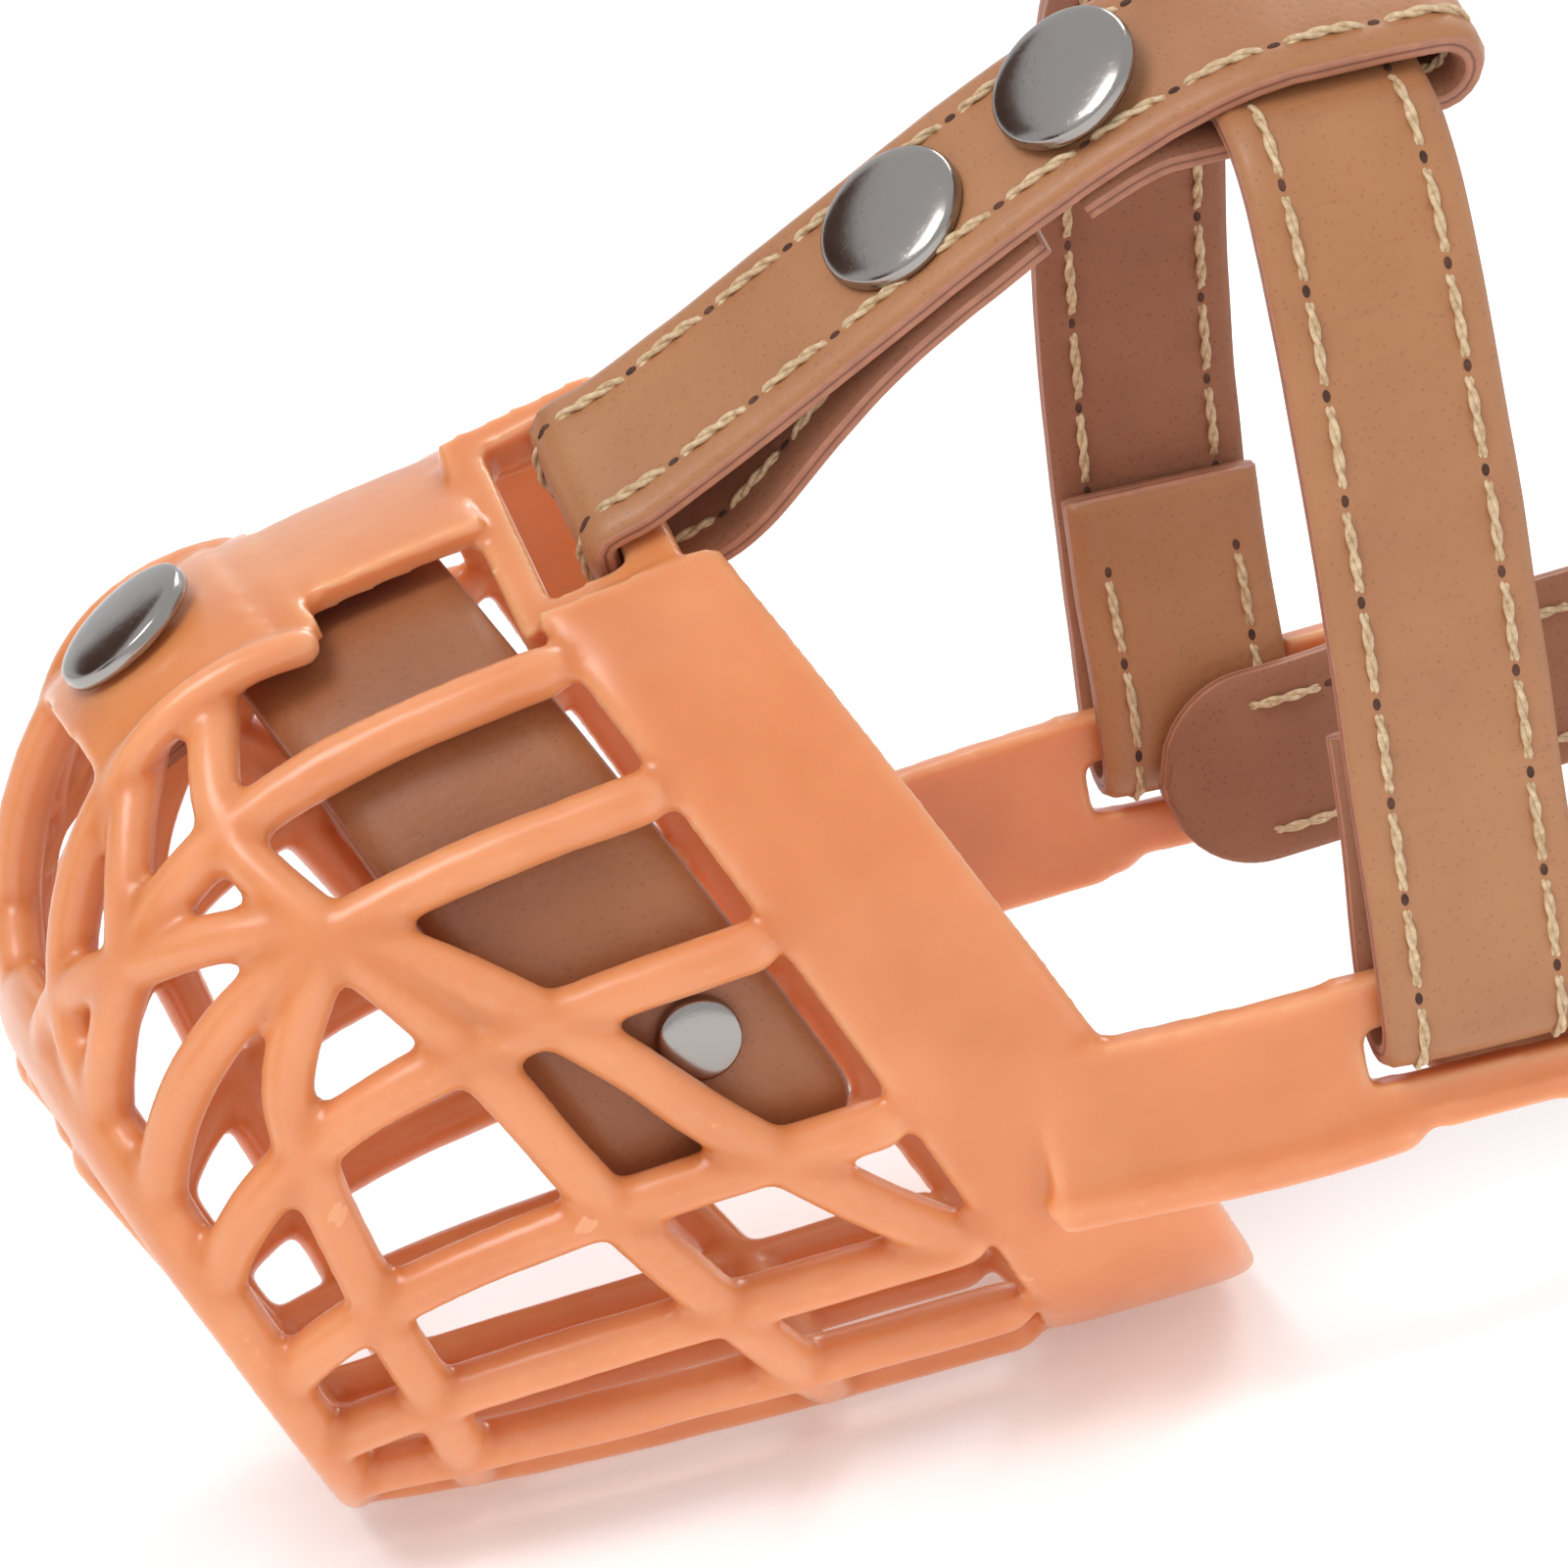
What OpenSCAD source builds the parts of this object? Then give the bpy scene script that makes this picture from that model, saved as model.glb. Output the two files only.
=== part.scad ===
// Basket muzzle with a moulded cage, riveted leather straps and a buckled neck strap.
// Frame: origin at the centre of the rear opening, -X towards the nose, +Z up, -Y the left side.

/* [Cage] */
// Height of the rear opening, from the top of the rim to the bottom (mm)
rim_h = 85; // [80:1:90]
// Width of the rear opening (mm)
rim_w = 77; // [74:1:80]
// Distance from the rear opening's centre to the front ring's top (mm)
cage_l = 77; // [72:1:82]
// Lean of the rim, top forward (degrees)
rim_lean = 24; // [22:1:25]
// Diameter of a rib (mm)
rib_d = 4.4; // [3.6:0.2:4.8]
// Wall of the rim band (mm)
rim_t = 2.6; // [2:0.2:3]
// Width of the rim band along the cage (mm)
rim_band = 13; // [11:1:14]

/* [Leather] */
// Width of the straps (mm)
strap_w = 18; // [16:1:18]
// Thickness of a finished strap (mm)
strap_t = 2.8; // [2.4:0.2:2.8]
// Height of the crown strap where the forehead strap folds round it (mm)
crown_z = 67; // [64:1:69]
// Lean of the crown strap, top backwards (degrees)
crown_lean = 3; // [2:1:5]
// Roll of the top frame and the forehead strap towards the left side (degrees)
roll = 25; // [22:1:26]
// Distance from the origin to the back of the neck loop (mm)
neck_x = 128; // [124:1:150]

/* [Metal] */
// Diameter of a rivet cap (mm)
cap_d = 13.5; // [11:0.5:14]
// Radius of a rivet's shank (mm)
shank_r = 1.6; // [1.4:0.1:1.8]
// Radius of the buckle's wire (mm)
wire_r = 1.5; // [1.3:0.1:1.5]

/* [Build] */
// Which node to draw

/* [Hidden] */
$fn = 48;
gap = 0.2;
lean_x = tan(rim_lean) * rim_h / 2;
// Side view of the cage: the top line and the bottom line as cubic curves, as [x, z].
top_line = [[-lean_x, rim_h / 2], [-cage_l * 0.6, rim_h * 0.45], [-cage_l, rim_h * 0.49], [-cage_l - 1, 3]];
low_line = [[lean_x, -rim_h / 2], [-cage_l * 0.2, -rim_h / 2], [-cage_l * 0.6, -rim_h / 2], [-62, -40]];
roundness = 2.3;
side_l = 66;
rim_s = rim_band / side_l;

// The raised frame round the slot on the rim's top.
top_slope = 14;
frame_l = rim_band + 2;
frame_w = strap_w + 8;
frame_t = 4.2;
frame_top = 2.6;
slot_back = -4.5;
roll_z = 18;

// Heights and places of the side tabs and what is on them.
tab_y = rim_w / 2 + 1;
tab_t = 3;
tab_low = -24;
bar_h = 5;
slot_low = -18;
slot_h = 5;
slot_x = 24.5;
slot_l = strap_w + 2.5;
rivet_x = 59;
rivet_z = -15;
tab_end = 68;
crown_x = slot_x + slot_l / 2;
slot_z = slot_low + slot_h / 2;
band_s = 0.355;
band_half_s = strap_w / side_l / 2;
band_out = -rib_d / 2 - 0.7;
band_t = 2;
nose_s = 0.55;

// Back of the neck loop: straight sides, rounded corners and a flat back.
neck_y = tab_y - gap - strap_t / 2;
neck_r = 26;
frame_half_h = strap_w / 2 + 2.2;
heel_y = 4;
toe_y = -17;
bar_x = neck_x + strap_t / 2 + gap + wire_r;
buckle_rivet_y = 15.5;
tail_x = 72;
keeper_t = 1.6;
keeper_gap = 0.35;

// ---------- the cage's surface ----------

function bezier(p, t) =
    let (u = 1 - t) u * u * u * p[0] + 3 * u * u * t * p[1] + 3 * u * t * t * p[2] + t * t * t * p[3];

function half_width(s) = rim_w / 2 * (1 - 0.02 * s - 0.34 * pow(max(s, 0), 2.6));

function rounded(v) = sign(v) * pow(abs(v), 2 / roundness);

// Point on the cage: s from the rear edge (0) to the front ring (1), a from the top (0) down the left side.
function on_cage(s, a) =
    let (t = bezier(top_line, s), b = bezier(low_line, s), mid = (t + b) / 2, up = (t - b) / 2)
    [mid[0] + up[0] * rounded(cos(a)), -half_width(s) * rounded(sin(a)), mid[1] + up[1] * rounded(cos(a))];

function unit(v) = v / norm(v);

// Outward direction of the surface.
function outward(s, a) =
    unit(cross(on_cage(s + 0.01, a) - on_cage(s - 0.01, a), on_cage(s, a + 1) - on_cage(s, a - 1)));

// Point at a height above the surface.
function off_cage(s, a, height) = on_cage(s, a) + height * outward(s, a);

// Solid swept through rings of points; a closed sweep joins its last ring to its first.
module sweep(rings, closed) {
    n = len(rings[0]);
    m = len(rings);
    last = closed ? m : m - 1;
    sides = [for (i = [0 : last - 1], j = [0 : n - 1])
        let (k = (i + 1) % m, l = (j + 1) % n) [i * n + j, k * n + j, k * n + l, i * n + l]];
    halves = [for (f = sides, h = [0, 1]) h == 0 ? [f[0], f[1], f[2]] : [f[0], f[2], f[3]]];
    ends = closed ? [] : [[for (j = [0 : n - 1]) j], [for (j = [n - 1 : -1 : 0]) (m - 1) * n + j]];
    polyhedron([for (r = rings, p = r) p], concat(halves, ends), convexity = 8);
}

// Patch of the cage's surface between two depths, swept round from one angle to another.
module patch(s0, s1, a0, a1, outer, inner, steps) {
    sweep([for (i = [0 : steps]) let (a = a0 + (a1 - a0) * i / steps)
        [off_cage(s0, a, outer), off_cage((s0 + s1) / 2, a, outer), off_cage(s1, a, outer),
         off_cage(s1, a, inner), off_cage((s0 + s1) / 2, a, inner), off_cage(s0, a, inner)]], false);
}

module bead(p, d = rib_d) {
    translate(p) sphere(d = d, $fn = 8);
}

// Rib along a path of [s, a] stops on the cage, each leg cut into short straight lengths.
module rib(path, d = rib_d, cuts = 2) {
    for (i = [0 : len(path) - 2], k = [0 : cuts - 1]) {
        p = path[i] + (path[i + 1] - path[i]) * k / cuts;
        q = path[i] + (path[i + 1] - path[i]) * (k + 1) / cuts;
        hull() {
            bead(on_cage(p[0], p[1]), d);
            bead(on_cage(q[0], q[1]), d);
        }
    }
}

// ---------- shared shapes ----------

// Flat ribbon of even thickness along a path, drawn in its plane.
module ribbon(path, t) {
    n = len(path);
    leg = [for (i = [0 : n - 2]) unit(path[i + 1] - path[i])];
    dir = [for (i = [0 : n - 1]) i == 0 ? leg[0] : i == n - 1 ? leg[n - 2] : unit(leg[i] + leg[i - 1])];
    off = [for (i = [0 : n - 1]) [-dir[i][1], dir[i][0]] * t / 2 / (dir[i] * leg[min(i, n - 2)])];
    polygon(concat([for (i = [0 : n - 1]) path[i] + off[i]], [for (i = [n - 1 : -1 : 0]) path[i] - off[i]]));
}

// Strip standing on edge: a path in plan, extruded upwards about a middle height.
module upright(path, t, h, z) {
    translate([0, 0, z - h / 2]) linear_extrude(h) ribbon(path, t);
}

function arc(centre, r, from, to, steps) =
    [for (i = [0 : steps]) let (a = from + (to - from) * i / steps) centre + r * [cos(a), sin(a)]];

// Cap rivet along +Z: domed cap on z = 0, shank down through the grip, then a washer or a second cap.
module rivet(grip, cap = cap_d, both = false) {
    half = cap / 2;
    dome = [for (a = [0 : 15 : 90]) [half * sin(a), 0.9 + 1.3 * cos(a) * cap / cap_d]];
    foot = both ? [for (i = [len(dome) - 1 : -1 : 0]) [dome[i][0], -grip - dome[i][1]]]
        : [[half * 0.6, -grip - 1], [0, -grip - 1]];
    rotate_extrude() polygon(concat(dome, [[half, 0], [shank_r, 0], [shank_r, -grip],
        [both ? half : half * 0.6, -grip]], foot));
}

// ---------- moulded cage ----------

module rim_band() color("#eb9a70")
    patch(0, rim_s, 32, 358, rim_t / 2, -rim_t / 2, 46);

// Turns the top frame and the forehead strap towards the left side, about a line inside the cage.
module rolled() {
    translate([0, 0, roll_z]) rotate([roll, 0, 0]) translate([0, 0, -roll_z]) children();
}

module at_rim_top() {
    translate([-lean_x, 0, rim_h / 2]) rotate([0, -top_slope, 0]) children();
}

module top_frame() color("#ec9a71")
    rolled() at_rim_top() difference() {
        translate([-frame_l, -frame_w / 2, frame_top - frame_t]) cube([frame_l, frame_w, frame_t]);
        translate([slot_back - 7, -strap_w / 2 - 1, frame_top - frame_t - 1]) cube([7, strap_w + 2, frame_t + 2]);
    }

module nose_bridge() color("#ec9a71")
    patch(rim_s + 0.045, nose_s - 0.075, -17, 17, 1.2, -1, 8);

module at_nose() {
    p = on_cage(nose_s, 0);
    translate(p) rotate([0, -31, 0]) children();
}

module nose_plate() color("#ec9a71")
    at_nose() difference() {
        translate([-8.5, -10, -1]) cube([15, 20, 2.4]);
        translate([0, 0, -2]) cylinder(r = shank_r + 0.05, h = 5);
    }

// One side's web, drawn on the left: long ribs to the front ring and three hoops that cross them.
module side_web() {
    for (a = [40 : 20 : 140]) rib([[rim_s + 0.03, a], [0.5, a], [0.72, a], [0.96, a]], rib_d, 2);
    rib([[0.96, 14], [0.8, 40], [0.57, 60], [0.43, 80], [0.32, 100], [rim_s + 0.03, 120]]);
    rib([[nose_s - 0.04, 20], [0.6, 40], [0.57, 60], [0.52, 80], [0.49, 100], [0.45, 120], [0.42, 140], [0.4, 158]]);
    rib([[0.57, 60], [0.72, 72], [0.76, 84], [0.79, 100], [0.8, 120], [0.81, 140], [0.81, 158]]);
    rib([[nose_s + 0.08, 18], [0.8, 40]]);
    rib([[nose_s + 0.08, 18], [0.9, 24], [0.96, 40]]);
}

module left_web() color("#ea9264")
    difference() {
        side_web();
        patch(0, rim_s, 30, 160, 5, -5, 12);
    }

module right_web() color("#ea9264")
    mirror([0, 1, 0]) left_web();

module belly_ribs() color("#ea9264") {
    for (a = [160, 173, 187, 200]) rib([[rim_s + 0.035, a], [0.5, a], [0.96, a]], rib_d, 2);
    for (s = [0.4, 0.81]) rib([[s, 162], [s, 180], [s, 198]], rib_d, 2);
}

module front_ring() color("#e98f5f")
    sweep([for (a = [0 : 10 : 350]) [off_cage(1.03, a, 1.6), off_cage(1.03, a, -1.6), off_cage(0.985, a, -2.4),
        off_cage(0.96, a, -1.6), off_cage(0.96, a, 1.6), off_cage(0.985, a, 2.4)]], true);

module front_grille() color("#e98f5f")
    for (y = [-13 : 6.5 : 13]) hull() {
        bead([on_cage(1, 0)[0], y, on_cage(1, 0)[2] - 4 - abs(y) / 6], 3.4);
        bead([on_cage(1, 180)[0] - 1.5, y, on_cage(1, 180)[2] + 5 + abs(y) / 6], 3.4);
    }

// Side tab with its strap slot, its root on the rim and the plate that carries the neck strap's rivet.
module left_tab() color("#eb9a70")
    difference() {
        union() {
            upright([[-6, -rim_w / 2 - 0.5], [6, -tab_y - 0.6], [20, -tab_y - tab_t / 2],
                [tab_end - 9, -tab_y - tab_t / 2]], tab_t, bar_h * 2 + slot_h + 1, tab_low + 8);
            translate([tab_end - 9, -tab_y, rivet_z]) rotate([90, 0, 0]) cylinder(r = 9, h = tab_t);
            translate([rivet_x - 12, -tab_y - tab_t, rivet_z - 9]) cube([12, tab_t, 18]);
        }
        translate([crown_x, -tab_y - tab_t / 2, slot_z]) rotate([0, crown_lean, 0])
            cube([slot_l, tab_t + 2, slot_h], center = true);
        translate([rivet_x, 0, rivet_z]) rotate([90, 0, 0]) cylinder(r = shank_r + 0.05, h = 60);
    }

module right_tab() color("#eb9a70")
    mirror([0, 1, 0]) left_tab();

// ---------- leather inside the cage ----------

module nose_band() color("#9a6a4a")
    patch(band_s - band_half_s, band_s + band_half_s, -104, 104, band_out, band_out - band_t, 40);

module nose_pad() color("#8a4a38")
    patch(band_s + band_half_s + 0.01, nose_s + 0.1, -14, 14, band_out, band_out - band_t, 8);

module nose_rivet() color("#c9c6c2")
    at_nose() translate([0, 0, 1.5]) rivet(2.6);

module band_rivets() color("#c9c6c2")
    for (side = [-1, 1]) {
        p = off_cage(band_s - 0.04, side * 88, band_out);
        n = outward(band_s - 0.04, side * 88);
        translate(p) rotate([0, acos(n[2]), atan2(n[1], n[0])]) rivet(0.1, 7.2);
    }

// ---------- forehead and crown straps ----------

// Point beside the top slot: u backwards along the rim's top, w out of it.
function by_slot(u, w) =
    [-lean_x + u * cos(top_slope) - w * sin(top_slope), rim_h / 2 + u * sin(top_slope) + w * cos(top_slope)];

layer = strap_t + 0.4;

// Where the two straps cross: the crown strap's middle as seen from the side, level and in the rolled frame.
cross_x = crown_x + (crown_z - slot_z) * sin(crown_lean);
cross_z = slot_z + (crown_z - slot_z) * cos(crown_lean);
cross_y = -(cross_z - roll_z) * tan(roll);
cross_up = roll_z + (cross_z - roll_z) / cos(roll);

// Point beside the crossing in the forehead strap's side view: u backwards along the crown strap, w out of it.
function by_crown(u, w) =
    [cross_x + u * cos(crown_lean) + w * sin(crown_lean), cross_up - u * sin(crown_lean) + w * cos(crown_lean)];

fore_start = by_slot(0.5, frame_top + gap + strap_t / 2);
fore_rise = by_crown(-12.5, layer);
fore_dir = unit(fore_rise - fore_start);
fore_run = norm(fore_rise - fore_start);
fore_down = [fore_dir[1], -fore_dir[0]];
bar_front = slot_back - gap - strap_t / 2;
under = frame_top - frame_t - gap - strap_t / 2;

// Side view of the forehead strap: from its front cut end, round the slot's rear bar, up to the crown strap,
// round it and forward to its rear cut end. d is a distance up the rising stretch.
function on_rise(d, depth) = fore_start + d * fore_dir + depth * fore_down;

fore_path = concat(
    [on_rise(fore_run - 16.5, layer), on_rise(fore_run - 32, layer), on_rise(13, layer + 2),
     by_slot(7, under + 1.2), by_slot(1, under), by_slot(slot_back - 0.4, under), by_slot(bar_front, under + 1.2),
     by_slot(bar_front, frame_top + 0.6), by_slot(slot_back - 0.6, frame_top + gap + strap_t / 2), fore_start,
     fore_rise],
    [for (a = [90 : -30 : -90]) by_crown(strap_w / 2 + 1.2 + layer * cos(a), layer * sin(a))],
    [by_crown(-10.5, -layer), on_rise(fore_run - 5, layer + 0.9), on_rise(fore_run - 12, layer)]);
module forehead_strap() color("#c08a62")
    rolled() difference() {
        translate([0, strap_w / 2, 0]) rotate([90, 0, 0]) linear_extrude(strap_w) ribbon(fore_path, strap_t);
        for (k = [0, 1]) at_fore_rivet(k) translate([0, 0, -14]) cylinder(r = shank_r + 0.05, h = 16);
    }

module at_fore_rivet(k) {
    p = on_rise([fore_run - 25.5, fore_run - 7][k], -strap_t / 2 - 0.05);
    translate([p[0], 0, p[1]]) rotate([0, -atan2(fore_dir[1], fore_dir[0]), 0]) children();
}

module forehead_rivets() color("#c9c6c2")
    rolled() for (k = [0, 1]) at_fore_rivet(k) rivet(layer + strap_t + 0.1 + 0.9 * k);

// Front view of the crown strap: each end goes through its slot from outside and turns up inside the tab.
// The stretch under the forehead strap is straight and slopes with it.
crown_out = tab_y + tab_t + gap + strap_t / 2;
crown_in = tab_y - gap - strap_t / 2;
slope = [cos(roll), sin(roll)];
flat_mid = [cross_y, crown_z];
flat_half = strap_w / 2 + 2;

// End of the strap below its arch, for one side.
function crown_foot(side) =
    [for (p = [[crown_out - layer - 1.7, 12], [crown_out - layer - 1.2, 4], [crown_in, -6], [crown_in, slot_z],
        [crown_out, slot_z], [crown_out, -6]]) [side * p[0], p[1]]];

near_arch = [[-crown_out, -6], [-crown_out, 36], flat_mid - (flat_half + 7) * slope, flat_mid - flat_half * slope];
far_arch = [flat_mid + flat_half * slope, flat_mid + (flat_half + 22) * slope, [crown_out + 1, 58], [crown_out, -6]];
far_foot = crown_foot(1);
crown_path = concat(crown_foot(-1), [for (k = [2 : 8]) bezier(near_arch, k / 8)],
    [for (k = [0 : 7]) bezier(far_arch, k / 8)], [for (i = [5 : -1 : 0]) far_foot[i]]);

module crown_strap() color("#c08a62")
    translate([crown_x, 0, slot_z]) rotate([0, crown_lean, 0]) translate([-strap_w / 2, 0, -slot_z])
        rotate([90, 0, 90]) linear_extrude(strap_w) ribbon(crown_path, strap_t);

// ---------- neck strap and buckle ----------

// Plan of one side of the neck strap, drawn for +Y: on the tab, back along the side and round the corner.
function neck_side(last) =
    concat([[30, neck_y - strap_t - 0.5], [47.5, neck_y - strap_t - 0.5], [52, neck_y], [90, neck_y]],
        corner(0, 80, last));

function corner(out, from, to) =
    arc([neck_x - neck_r, neck_y - neck_r], neck_r + out, from, to, 6);

function flipped(path) = [for (p = path) [p[0], -p[1]]];

// Holes across the whole width, for the rivets on the tabs.
module tab_rivet_holes() {
    translate([rivet_x, 60, rivet_z]) rotate([90, 0, 0]) cylinder(r = shank_r, h = 120);
}

// Cuts a strap's front end to a round tip.
module rounded_tip() {
    translate([29, -60, rivet_z - strap_w / 2 - 1]) difference() {
        cube([strap_w / 2 + 1, 120, strap_w + 2]);
        translate([strap_w / 2 + 1, 121, strap_w / 2 + 1]) rotate([90, 0, 0]) cylinder(r = strap_w / 2, h = 122);
    }
}

fold_out = bar_x + wire_r + gap + strap_t / 2;
tail_out = fold_out + strap_t + gap + 0.2;

module buckle_strap() color("#c08a62")
    difference() {
        upright(concat(neck_side(10), [[neck_x, 9], [neck_x, 2.4], [bar_x - 1.4, 0.7], [bar_x + 1.4, 0.7],
            [fold_out, 2.4], [fold_out, 6], [neck_x + strap_t + gap, 11.5], [neck_x + strap_t + gap, 19.5]]),
            strap_t, strap_w, rivet_z);
        tab_rivet_holes();
        rounded_tip();
        translate([neck_x - 3, -2, rivet_z - 2.4]) cube([12, 10, 4.8]);
        translate([neck_x - 8, buckle_rivet_y, rivet_z]) rotate([0, 90, 0]) cylinder(r = shank_r, h = 16);
    }

module punched_strap() color("#c08a62")
    difference() {
        upright(concat(flipped(neck_side(20)), [[neck_x - 1.5, toe_y + 1], [tail_out, heel_y - 2.5],
            [tail_out, heel_y + 3], [tail_out, 14], [tail_out - 0.4, 19.5]], corner(strap_t + 0.5, 30, 80),
            [[90, neck_y + strap_t + 0.5], [tail_x, neck_y + strap_t + 0.5]]), strap_t, strap_w, rivet_z);
        tab_rivet_holes();
        rounded_tip();
        translate([neck_x - 4, toe_y + 4, rivet_z - 1.7]) cube([16, 17, 3.4]);
        for (k = [0 : 2]) translate([tail_x + 8 + 9 * k, neck_y + 8, rivet_z]) rotate([90, 0, 0])
            cylinder(r = 1.6, h = 7);
    }

module tab_rivets() color("#c9c6c2")
    for (side = [-1, 1]) translate([rivet_x, side * (tab_y + tab_t + 0.1), rivet_z]) rotate([-90 * side, 0, 0])
        rivet(tab_t + strap_t + gap + 0.2, cap_d, true);

module buckle_frame() color("#bdbab6") {
    for (y = [heel_y, toe_y]) translate([bar_x, y, rivet_z - frame_half_h])
        cylinder(r = wire_r, h = 2 * frame_half_h);
    for (z = [-frame_half_h, frame_half_h]) {
        translate([bar_x, heel_y, rivet_z + z]) rotate([90, 0, 0]) cylinder(r = wire_r, h = heel_y - toe_y);
        for (y = [heel_y, toe_y]) translate([bar_x, y, rivet_z + z]) sphere(r = wire_r);
    }
}

module buckle_prong() color("#bdbab6")
    difference() {
        union() {
            translate([bar_x, heel_y, rivet_z - 1.6]) cylinder(r = wire_r + 1.1, h = 3.2);
            translate([bar_x + 1.9, heel_y, rivet_z]) rotate([90, 0, 3.9]) cylinder(r = 1, h = heel_y - toe_y + 2.5);
        }
        translate([bar_x, heel_y, rivet_z - 4]) cylinder(r = wire_r + 0.06, h = 8);
    }

module buckle_roller() color("#bdbab6")
    translate([bar_x, toe_y, rivet_z - strap_w / 2]) difference() {
        cylinder(r = wire_r + 0.8, h = strap_w);
        translate([0, 0, -1]) cylinder(r = wire_r + 0.06, h = strap_w + 2);
    }

// Leather loop round the strap and its tail, centred on x.
module keeper(x) {
    inner = strap_t * 2 + 0.5 + 2 * keeper_gap;
    low = neck_y - strap_t / 2 - keeper_gap;
    translate([x - 3.5, low - keeper_t, rivet_z - strap_w / 2 - keeper_gap - keeper_t]) difference() {
        cube([7, inner + 2 * keeper_t, strap_w + 2 * (keeper_gap + keeper_t)]);
        translate([-1, keeper_t, keeper_t]) cube([9, inner, strap_w + 2 * keeper_gap]);
    }
}

module fixed_keeper() color("#b98259")
    keeper(98);

module sliding_keeper() color("#b98259")
    keeper(86);

module buckle_rivet() color("#c9c6c2")
    translate([neck_x + strap_t * 1.5 + gap + 0.1, buckle_rivet_y, rivet_z]) rotate([0, 90, 0])
        rivet(strap_t * 2 + gap + 0.5, 8);

rim_band();
top_frame();
nose_bridge();
nose_plate();
left_web();
right_web();
belly_ribs();
front_ring();
front_grille();
left_tab();
right_tab();
nose_band();
nose_pad();
nose_rivet();
band_rivets();
forehead_strap();
forehead_rivets();
crown_strap();
buckle_strap();
punched_strap();
tab_rivets();
buckle_frame();
buckle_prong();
buckle_roller();
fixed_keeper();
sliding_keeper();
buckle_rivet();
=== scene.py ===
"""Looks of the basket muzzle: a moulded cage, stitched leather straps, nickel caps and a steel buckle."""

import math
import random

import bpy
import numpy as np
from mathutils import Matrix, Vector, noise


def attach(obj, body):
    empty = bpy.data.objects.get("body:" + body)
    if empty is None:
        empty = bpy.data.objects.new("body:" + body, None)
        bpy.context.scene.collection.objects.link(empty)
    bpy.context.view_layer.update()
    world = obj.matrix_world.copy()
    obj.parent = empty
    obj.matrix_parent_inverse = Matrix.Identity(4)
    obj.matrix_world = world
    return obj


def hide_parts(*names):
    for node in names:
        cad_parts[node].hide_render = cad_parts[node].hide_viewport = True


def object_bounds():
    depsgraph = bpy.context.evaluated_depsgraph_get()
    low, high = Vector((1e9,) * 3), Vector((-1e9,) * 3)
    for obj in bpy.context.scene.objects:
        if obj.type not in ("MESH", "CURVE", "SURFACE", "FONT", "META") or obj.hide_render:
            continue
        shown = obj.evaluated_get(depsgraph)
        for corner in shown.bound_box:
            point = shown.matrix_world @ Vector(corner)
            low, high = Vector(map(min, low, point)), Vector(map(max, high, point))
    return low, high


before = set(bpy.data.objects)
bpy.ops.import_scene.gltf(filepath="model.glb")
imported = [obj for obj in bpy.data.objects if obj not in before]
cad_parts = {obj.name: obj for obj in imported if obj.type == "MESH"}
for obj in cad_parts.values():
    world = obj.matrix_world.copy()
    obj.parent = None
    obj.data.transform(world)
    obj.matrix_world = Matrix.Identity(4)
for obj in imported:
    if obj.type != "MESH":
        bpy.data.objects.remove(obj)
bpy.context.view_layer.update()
random.seed(7)

# ---------- the design's numbers, in mm, as in the part's source ----------
RIM_H, RIM_W, CAGE_L, RIM_LEAN, ROUND = 85.0, 77.0, 77.0, 24.0, 2.3
RIM_S = 13 / 66
LEAN_X = math.tan(math.radians(RIM_LEAN)) * RIM_H / 2
TOP = [(-LEAN_X, RIM_H / 2), (-CAGE_L * 0.6, RIM_H * 0.45), (-CAGE_L, RIM_H * 0.49), (-CAGE_L - 1, 3)]
LOW = [(LEAN_X, -RIM_H / 2), (-CAGE_L * 0.2, -RIM_H / 2), (-CAGE_L * 0.6, -RIM_H / 2), (-62, -40)]
TAPER = 0.34
STRAP_W, STRAP_T, GAP = 18.0, 2.8, 0.2
CROWN_Z, CROWN_LEAN, ROLL, ROLL_Z = 67.0, math.radians(3), math.radians(25), 18.0
NECK_X, CAP_R, WIRE = 128.0, 6.75, 1.5
TOP_SLOPE = math.radians(14)
FRAME_L, FRAME_W, FRAME_T, FRAME_TOP, SLOT_BACK = 15.0, 26.0, 4.2, 2.6, -4.5
TAB_Y, TAB_T, TAB_LOW = RIM_W / 2 + 1, 3.0, -24.0
SLOT_LOW, SLOT_H, SLOT_X, SLOT_L = -18.0, 5.0, 24.5, 20.5
RIVET_X, RIVET_Z = 59.0, -15.0
CROWN_X, SLOT_Z = SLOT_X + SLOT_L / 2, SLOT_LOW + SLOT_H / 2
NOSE_S = 0.55
LAYER = STRAP_T + 0.4


def bezier(p, t):
    u = 1 - t
    weights = (u ** 3, 3 * u * u * t, 3 * u * t * t, t ** 3)
    return [sum(w * q[i] for w, q in zip(weights, p)) for i in (0, 1)]


def around(count):
    """Angles of a full turn, in radians."""
    return [2 * math.pi * k / count for k in range(count)]


def signed_power(v, exponent):
    return math.copysign(abs(v) ** exponent, v)


def rounded(v):
    return signed_power(v, 2 / ROUND)


def cage(s, a):
    """Point on the cage: s from the rim (0) to the front (1), a round it in degrees from the top."""
    t, b = bezier(TOP, s), bezier(LOW, s)
    c, w = rounded(math.cos(math.radians(a))), RIM_W / 2 * (1 - 0.02 * s - TAPER * max(s, 0) ** 2.6)
    return Vector(((t[0] + b[0]) / 2 + (t[0] - b[0]) / 2 * c, -w * rounded(math.sin(math.radians(a))),
                   (t[1] + b[1]) / 2 + (t[1] - b[1]) / 2 * c))


def outward(s, a):
    return (cage(s + 0.01, a) - cage(s - 0.01, a)).cross(cage(s, a + 1) - cage(s, a - 1)).normalized()


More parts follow.
